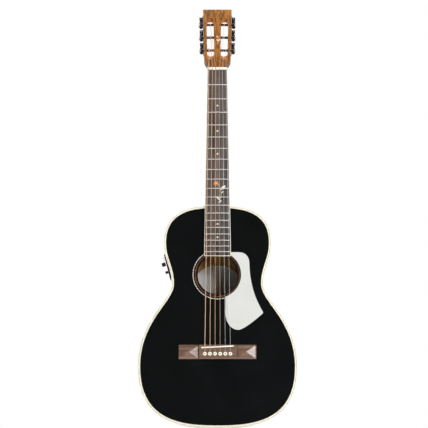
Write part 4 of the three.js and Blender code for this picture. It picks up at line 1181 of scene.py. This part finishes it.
@dataclass
class Neck(Assembly):
    """The neck and heel, the headstock's face and its inlay."""

    face: float = 2.5

    def build(self) -> None:
        """Finishes the neck, the veneer, the heel cap and the sprig between the slots."""
        neck = softened("neck", 0.0)
        self.keep(neck, NECK_WOOD, "neck_wood", None)
        neck.data.materials.append(RAW_NECK.material())
        flat = HEAD.inverted()
        for face in neck.data.polygons:
            x, along, _ = flat @ face.center
            level = abs((flat.to_3x3() @ face.normal).normalized().z)
            if abs(x) < 26.5 and 19 < along < 139 and level < 0.985:
                face.material_index = 1
        self.keep(softened("headstock_veneer", 0.25, 60), AMBER, "amber_veneer", None)
        self.keep(softened("heel_cap", 0.6), MOULDED, "black_plastic", None)

        def seat(piece: Piece) -> Piece:
            """Sets an inlay level with the headstock's face."""
            piece.data.transform(Matrix.Translation((0, 0, self.face + 0.04)))
            return piece

        leaves = ((0.42, -1, 0.8), (0.42, 1, 1.0))
        Sprig("head_sprig", (0.0, 64.0), 24.0, 7.0, leaves, 0.8, 0.0).grow(self, seat, HEAD)


@dataclass
class Machine(Assembly):
    """One tuning machine: its roller, gear, worm and button, in the frame of its side's edge."""

    side: Side = Side.BASS
    number: int = 1
    depth: float = 5.1
    worm_out: float = 5.4
    worm_along: float = 12.5
    teeth: int = 14

    @property
    def station(self) -> float:
        """Place of the roller along the headstock."""
        return STATIONS[self.number - 1]

    @property
    def edge(self) -> Matrix:
        """The frame of the headstock's edge: x points out of it, y runs along it."""
        turn = Matrix.Rotation(-self.side.value * math.atan2(EDGE_RISE, EDGE_RUN), 4, "Z")
        place = Matrix.Translation((self.side.value * EDGE_HALF, EDGE_START, 0)) @ turn
        return HEAD @ place @ Matrix.Diagonal((self.side.value, 1, 1, 1))

    @property
    def reach(self) -> float:
        """Distance from the edge inwards to the slot's inner wall."""
        slot = 15 + 2 * (self.station - 21) / 114 - 8.15
        return EDGE_HALF + (self.station - EDGE_START) * EDGE_RISE / EDGE_RUN - slot

    def build(self) -> None:
        """Makes the roller's pieces and the worm's pieces."""
        along = self.station - EDGE_START
        axis = Matrix.Translation((0, along, -self.depth)) @ Matrix.Rotation(math.pi / 2, 4, "Y")
        self.body = f"roller_{self.side.label}_{self.number}"
        self.roller(self.edge @ axis)
        worm = Matrix.Translation((self.worm_out, along + self.worm_along, -self.depth))
        self.body = f"worm_button_{self.side.label}_{self.number}"
        self.worm(self.edge @ worm)

    def roller(self, place: Matrix) -> None:
        """The drum, its gear and the screw that holds the gear."""
        tag, reach = f"{self.side.label}_{self.number}", self.reach
        profile = [
            (0, -reach - 3), (2.1, -reach - 3), (2.3, -reach - 2.8), (2.3, -reach + 0.6), (2.9, -reach + 0.6),
            (3.1, -reach + 0.9), (3.1, -reach + 3.2), (2.75, -reach + 3.6), (2.75, -12.0), (3.1, -11.5),
            (3.1, -0.2), (2.3, 0), (2.3, 3.2), (0, 3.2),
        ]
        drum = turned(f"roller_drum_{tag}", profile, 28)
        self.keep(drum, BLACK_METAL, "roller_metal", place)
        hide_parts(self.body)
        tooth = (7.6, 8.35, 8.55, 7.75)
        gear = plate(f"tuner_gear_{tag}", [toothed(tooth, self.teeth * len(tooth))], 3.2, 7.6, 0.25)
        self.keep(gear, BLACK_METAL, "roller_metal", place)
        head = [(0, 8.9), (1.6, 8.9), (2.6, 8.4), (2.9, 7.7), (2.9, 7.5), (0, 7.5)]
        screw = turned(f"gear_screw_{tag}", head, 24)
        carve(screw, block("slot", (-4, -0.35, 8.3), (4, 0.35, 10)))
        self.keep(screw, NICKEL, "roller_metal", place)

    def worm(self, place: Matrix) -> None:
        """The threaded worm, its shaft, the neck and the flattened button."""
        tag = f"{self.side.label}_{self.number}"
        shaft = turned(f"worm_shaft_{tag}", [
            (0, -11.4), (1.75, -11.4), (1.75, -4.5), (2.7, -4.4), (2.7, 4.4), (1.75, 4.5), (1.75, 8.0),
            (1.4, 8.4), (0, 8.4),
        ], 20)
        section = [(2.6, 0, -0.62), (3.5, 0, -0.22), (3.5, 0, 0.22), (2.6, 0, 0.62)]
        thread = to_mesh(curve_object("thread", [section], False, False))
        modify(thread, "SCREW", angle=2 * math.pi, screw_offset=2.05, iterations=4, steps=20, render_steps=20)
        thread.data.transform(Matrix.Translation((0, 0, -4.1)))
        seal(thread, 0.001)
        smooth(thread, 35)
        self.keep(joined(f"worm_shaft_{tag}", [shaft, thread]), NICKEL, "button_black", place)
        button = turned(f"tuner_button_{tag}", [
            (0, -28.3), (3.2, -28.2), (5.6, -27.2), (7.0, -25.0), (7.45, -22.4), (7.2, -19.6), (6.4, -16.6),
            (5.2, -13.9), (3.9, -12.3), (3.2, -11.6), (2.9, -10.6), (2.5, -10.2), (2.4, -7.6), (0, -7.6),
        ], 28)
        button.data.transform(Matrix.Diagonal((0.7, 1, 1, 1)))
        smooth(button, 60)
        self.keep(button, BUTTON, "button_black", place)
        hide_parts(self.body)


@dataclass
class TunerPlates(Assembly):
    """The long plates that carry the machines, and their screws."""

    screws: Sequence[Pair] = ((14.4, 0.0), (46.5, -4.4), (81.5, -4.4), (114.2, 0.0))

    def build(self) -> None:
        """Makes both plates with four screws in each."""
        for side in Side:
            self.keep(softened(f"tuner_plate_{side.label}", 0.25), BLACK_METAL, "black_metal", None)
            edge = Machine(side=side).edge
            head = [(0, 0.75), (0.9, 0.7), (1.6, 0.35), (1.75, 0), (0, 0)]
            screw = turned("plate_screw", head, 20)
            carve(screw, block("slot", (-3, -0.22, 0.35), (3, 0.22, 2)))
            for number, (along, rise) in enumerate(self.screws, 1):
                turn = Matrix.Rotation(math.pi / 2, 4, "Y") @ Matrix.Rotation(0.7 * number, 4, "Z")
                place = edge @ Matrix.Translation((1.5, along, -Machine.depth + rise)) @ turn
                self.keep(copied(screw, f"plate_screw_{side.label}_{number}"), NICKEL, "black_metal", place)
            bpy.data.objects.remove(screw)


@dataclass
class Bridge(Assembly):
    """The bridge with its saddle and pins."""

    def build(self) -> None:
        """Finishes the bridge and saddle, and turns the pins."""
        self.keep(softened("bridge", 0.3, 60, shade=0), BRIDGE_WOOD, "bridge_wood", None)
        self.keep(softened("saddle", 0.45), BONE, "bone", None)
        pin = turned("pin", [
            (0, -10.9), (1.7, -10.9), (1.95, -10.4), (2.4, 9.1), (3.4, 9.1), (4.15, 9.5), (4.2, 10.0),
            (3.9, 10.7), (3.0, 11.35), (1.65, 11.72), (1.6, 11.72), (0, 11.76),
        ])
        eye = turned("eye", [(0, 11.9), (0.9, 11.86), (1.3, 11.8), (1.35, 11.6), (0, 11.6)], 24)
        for index in range(6):
            name = f"bridge_pin_{6 - index}"
            place = DRAWING @ Matrix.Translation((string_x(index, PIN_SPREAD), PINS_AT, 0))
            body = copied(pin, f"{name}_turned")
            self.keep(body, PIN_CREAM, "pin_cream", place)
            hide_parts(name)
            self.keep(copied(eye, f"{name}_eye"), DOT, "pin_cream", place)
        bpy.data.objects.remove(pin)
        bpy.data.objects.remove(eye)


@dataclass
class Strings(Assembly):
    """Six strings, each held from its pin to its roller, with its turns on the roller."""

    radii: Sequence[float] = (0.68, 0.54, 0.41, 0.31, 0.21, 0.16)
    thinnest: float = 0.24
    nut_top: float = 7.9
    saddle_top: float = 11.7
    saddle_slant: float = 2.9
    bridge_top: float = 9.1
    over_axis: float = 3.4
    coil_radius: float = 3.12
    rollers: Sequence[tuple[int, float]] = (
        (1, -19.5), (2, -15.5), (3, -16.3), (3, 16.3), (2, 15.5), (1, 19.5),
    )

    def build(self) -> None:
        """Makes each string and its windings."""
        for index, gauge in enumerate(self.radii):
            radius = max(gauge, self.thinnest)
            finish, slot = (BRONZE, "wound_string") if index < 4 else (STEEL, "plain_string")
            number, (roller, across) = 6 - index, self.rollers[index]
            at_pins, at_nut = string_x(index, PIN_SPREAD), string_x(index, NUT_SPREAD)
            self.body = "root"
            wire = self.speaking_length(number, radius, at_pins, at_nut, roller, across)
            self.keep(wire, finish, slot, None)
            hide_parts(f"string_{number}")
            self.windings(number, radius, roller, across, finish, slot)

    def speaking_length(
        self, number: int, radius: float, at_pins: float, at_nut: float, roller: int, across: float
    ) -> Piece:
        """One string from under the bridge, over the saddle and the nut, to its roller.

        Args:
            number: the string's number, 6 for the lowest.
            radius: half its thickness.
            at_pins: its place across the bridge.
            at_nut: its place across the nut.
            roller: the roller's number from the nut.
            across: its place across the headstock, on the roller.

        Returns:
            The string, in its place.
        """
        nut_height = self.nut_top - at_nut**2 / (2 * CROWN_RADIUS) + radius
        saddle_y = -SCALE + math.tan(math.radians(self.saddle_slant)) * at_pins
        saddle = self.saddle_top - at_pins**2 / (2 * CROWN_RADIUS) + radius
        pin_head, gap = 4.2, 0.3
        hole_y, lip = PINS_AT + pin_head + gap + self.radii[0], self.bridge_top + radius
        end = HEAD @ Vector((across, STATIONS[roller - 1], -Machine.depth + self.over_axis + radius))
        points = [
            (at_pins, hole_y, -7.0), (at_pins, hole_y, lip - 1.2), (at_pins, hole_y + 0.2, lip - 0.4),
            (at_pins, hole_y + 0.8, lip + 0.25), (at_pins, saddle_y - 1.2, saddle - 0.5),
            (at_pins, saddle_y - 0.5, saddle - 0.08), (at_pins, saddle_y + 0.3, saddle),
            (at_nut, -0.2, nut_height), (at_nut, 3.0, nut_height + 0.02),
            (at_nut + (across - at_nut) * 0.06, 6.2, nut_height - 0.18),
        ]
        path = [DRAWING @ Vector(point) / MM for point in points] + [end / MM]
        return settle(rod(f"string_{number}_wire", path, radius, 2), Matrix.Scale(MM, 4))

    def windings(
        self, number: int, radius: float, roller: int, across: float, finish: Finish, slot: str
    ) -> None:
        """The turns of a string on its roller, which turn with it."""
        side = Side.BASS if across < 0 else Side.TREBLE
        machine = Machine(side=side, number=roller)
        out = abs(across) - (EDGE_HALF + (machine.station - EDGE_START) * EDGE_RISE / EDGE_RUN)
        turns = 2.5 if number > 3 else 3.5
        facets = 20
        step, ring = radius * 2.3, self.coil_radius + radius
        points = []
        for i in range(int(turns * facets) + 1):
            angle = 2 * math.pi * i / facets
            height = step * i / facets - step * turns * 0.5
            points.append((ring * math.cos(angle), ring * math.sin(angle), height))
        coil = rod(f"string_{number}_turns", points, radius * 0.98, 1)
        middle = Matrix.Translation((out, machine.station - EDGE_START, -machine.depth))
        axis = middle @ Matrix.Rotation(math.pi / 2, 4, "Y")
        self.body = f"roller_{side.label}_{roller}"
        self.keep(coil, finish, slot, machine.edge @ axis)


@dataclass
class Preamp(Assembly):
    """The control panel in the bass side, its two knobs, and the strap's end pin."""

    tone_at: float = -10.5
    tone_middle: float = 6.4

    def panel_frame(self) -> Matrix:
        """The panel's frame: x points out of the guitar, y runs up its side."""
        volume, tone = (sum(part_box(f"preamp_{name}_knob"), Vector()) / 2 for name in ("volume", "tone"))
        up = volume - tone
        up.y = 0
        up.normalize()
        across = Vector((0, 1, 0))
        out = across.cross(up)
        if out.x > 0:
            out.negate()
        axes = Matrix((out, up, across)).transposed().to_4x4()
        centre = tone - up * self.tone_at * MM - out * self.tone_middle * MM
        return Matrix.Translation(centre) @ axes @ Matrix.Scale(MM, 4)

    def build(self) -> None:
        """Makes the panel, its fittings and knobs, and finishes the end pin."""
        self.keep(softened("preamp_panel", 0.8, 50, 3), MOULDED, "black_plastic", None)
        place = self.panel_frame()
        face = place @ Matrix.Rotation(math.pi / 2, 4, "Y")
        lid = block("battery_lid", (2.95, -24, -15.5), (3.4, -16.5, 15.5), 0.2)
        self.keep(lid, MOULDED, "black_plastic", place)
        for index, z in enumerate((-11.0, -5.5, 5.5, 11.0), 1):
            key = block(f"preamp_key_{index}", (2.9, 18.5, z - 1.6), (3.7, 21.7, z + 1.6), 0.35)
            self.keep(key, BUTTON, "black_plastic", place)
        lamp = turned("preamp_lamp", [(0, 3.6), (0.6, 3.5), (0.9, 3.2), (0.9, 2.8), (0, 2.8)], 16)
        self.keep(lamp, LAMP, "black_plastic", face @ Matrix.Translation((0, 20, 0)))
        self.knob("volume", 8.5, 4.5, 8.7, face)
        self.knob("tone", self.tone_at, 3.0, 6.4, face)
        self.body = "root"
        pin = turned("strap_end_pin", [
            (0, 9.3), (5.2, 9.2), (6.2, 8.6), (6.5, 7.8), (6.4, 7.0), (5.4, 6.0), (4.7, 4.9), (4.7, 3.8),
            (5.5, 2.4), (6.4, 1.6), (6.5, 0.9), (6.3, 0.3), (4.5, 0.3), (4.1, -23.9), (0, -24),
        ], 36)
        low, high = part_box("end_pin")
        centre = (low + high) / 2
        pose = Matrix.Translation((centre.x, centre.y, low.z + 9.3 * MM)) @ Matrix.Scale(MM, 4)
        self.keep(pin, BUTTON, "black_plastic", pose @ Matrix.Rotation(math.pi, 4, "X"))
        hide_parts("end_pin")

    def knob(self, name: str, along: float, radius: float, height: float, face: Matrix) -> None:
        """A fluted knob with a pale pointer line.

        Args:
            name: volume or tone.
            along: its place up the panel.
            radius: its radius.
            height: its height over the panel.
            face: the panel's frame with z out of it.
        """
        self.body = f"preamp_{name}_knob"
        count = 24 if radius > 4 else 18
        flute = [radius - bite for bite in (0.0, 0.14, 0.28, 0.14)]
        base = 3.2
        top = base + height
        cap = plate(f"{name}_knob_cap", [toothed(flute, count * len(flute))], base, top, 0.45)
        place = face @ Matrix.Translation((0, along, 0))
        self.keep(cap, BUTTON, "black_plastic", place)
        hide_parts(self.body)
        low, high = (-0.3, 0.25 * radius, top - 0.3), (0.3, 0.85 * radius, top + 0.06)
        line = block(f"{name}_knob_pointer", low, high, 0.05)
        self.keep(line, BONE, "bone", place)


# ------------------------------------------------------------------ studio
@dataclass
class Studio:
    """The floor, the soft light and the camera."""

    pitch: float = 10.72
    distance: float = 2.61
    below_nut: float = 0.829
    aside: float = -0.0078
    lens: float = 100.3
    nut_front: float = -0.0222
    floor_height: float = -1.3
    floor_size: float = 40
    softboxes: Sequence[tuple[str, tuple[float, float, float], float, float]] = (
        ("key", (1.5, -2.3, -0.15), 0.9, 62), ("fill", (-2.3, -2.2, 0.9), 1.4, 42),
        ("overhead", (0.0, -0.7, 2.4), 1.6, 34), ("behind_left", (-1.8, 1.9, 0.9), 1.6, 26),
        ("behind_right", (1.8, 1.9, 0.9), 1.6, 26),
    )

    def build(self) -> None:
        """Sets the stage."""
        bpy.ops.object.select_all(action="DESELECT")
        size, middle = self.floor_size, (0, 0, self.floor_height)
        bpy.ops.mesh.primitive_grid_add(x_subdivisions=4, y_subdivisions=4, size=size, location=middle)
        floor = bpy.context.object
        floor.name = "studio_floor"
        FLOOR.dress(floor)
        self.world()
        for name, place, size, watts in self.softboxes:
            self.softbox(name, place, size, watts)
        self.camera()
        bpy.context.scene.view_settings.view_transform = "Standard"

    def world(self) -> None:
        """A white backdrop to the eye and a dim room to the guitar."""
        world = bpy.data.worlds.new("studio")
        world.use_nodes = True
        world.node_tree.nodes.clear()
        w = Wiring(world.node_tree)
        seen = w.node("Background", {"Color": (1.0, 1.0, 1.0), "Strength": 1.0})
        facing = w.node("SeparateXYZ", {0: w.node("TexCoord").outputs["Generated"]}).outputs["Y"]
        level = w.ramp(facing, -0.35, 0.5, 0.05, 0.5)
        room = w.node("Background", {"Color": (0.86, 0.93, 0.95), "Strength": level})
        path = w.node("LightPath")
        both = w.node("MixShader", {0: path.outputs["Is Camera Ray"], 1: room.outputs[0], 2: seen.outputs[0]})
        output = w.node("OutputWorld")
        w.feed(output.inputs["Surface"], both.outputs[0])
        bpy.context.scene.world = world

    def softbox(self, name: str, place: Sequence[float], size: float, watts: float) -> None:
        """An area light that faces the guitar."""
        bpy.ops.object.light_add(type="AREA", location=place)
        light = bpy.context.object
        light.name = f"softbox_{name}"
        light.data.size = size
        light.data.energy = watts
        aim = Vector((0, 0.03, -0.42)) - Vector(place)
        light.rotation_euler = aim.to_track_quat("-Z", "Y").to_euler()

    def camera(self) -> None:
        """The camera, low and tilted up at the guitar."""
        place = (self.aside, self.nut_front - self.distance, -HANGER_UP * MM - self.below_nut)
        bpy.ops.object.camera_add(location=place, rotation=(math.radians(90 + self.pitch), 0, 0))
        camera = bpy.context.object
        camera.data.lens = self.lens
        camera.data.sensor_width = 36
        camera.data.clip_end = 100
        bpy.context.scene.camera = camera


def check_finishes() -> None:
    """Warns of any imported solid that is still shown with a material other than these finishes."""
    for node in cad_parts:
        piece = bpy.data.objects.get(node)
        if piece is None or piece.hide_render:
            continue
        materials = [slot.material for slot in piece.material_slots]
        if not all(material.name.endswith("_finish") for material in materials if material):
            LOG.warning("%s has no finish", node)


def main() -> None:
    """Builds the guitar and its studio, in order."""
    logging.basicConfig(level=logging.INFO, format="%(message)s")
    bpy.ops.object.select_all(action="DESELECT")
    machines = [Machine(side=side, number=number) for side in Side for number in (1, 2, 3)]
    fixed = [Body(), SoundholeTrim(), Fingerboard(), Neck(), TunerPlates()]
    parts = [*fixed, *machines, Bridge(), Strings(), Preamp()]
    Studio().build()
    for part in parts:
        part.build()
        part.report()
    check_finishes()


if __name__ == "__main__":
    main()
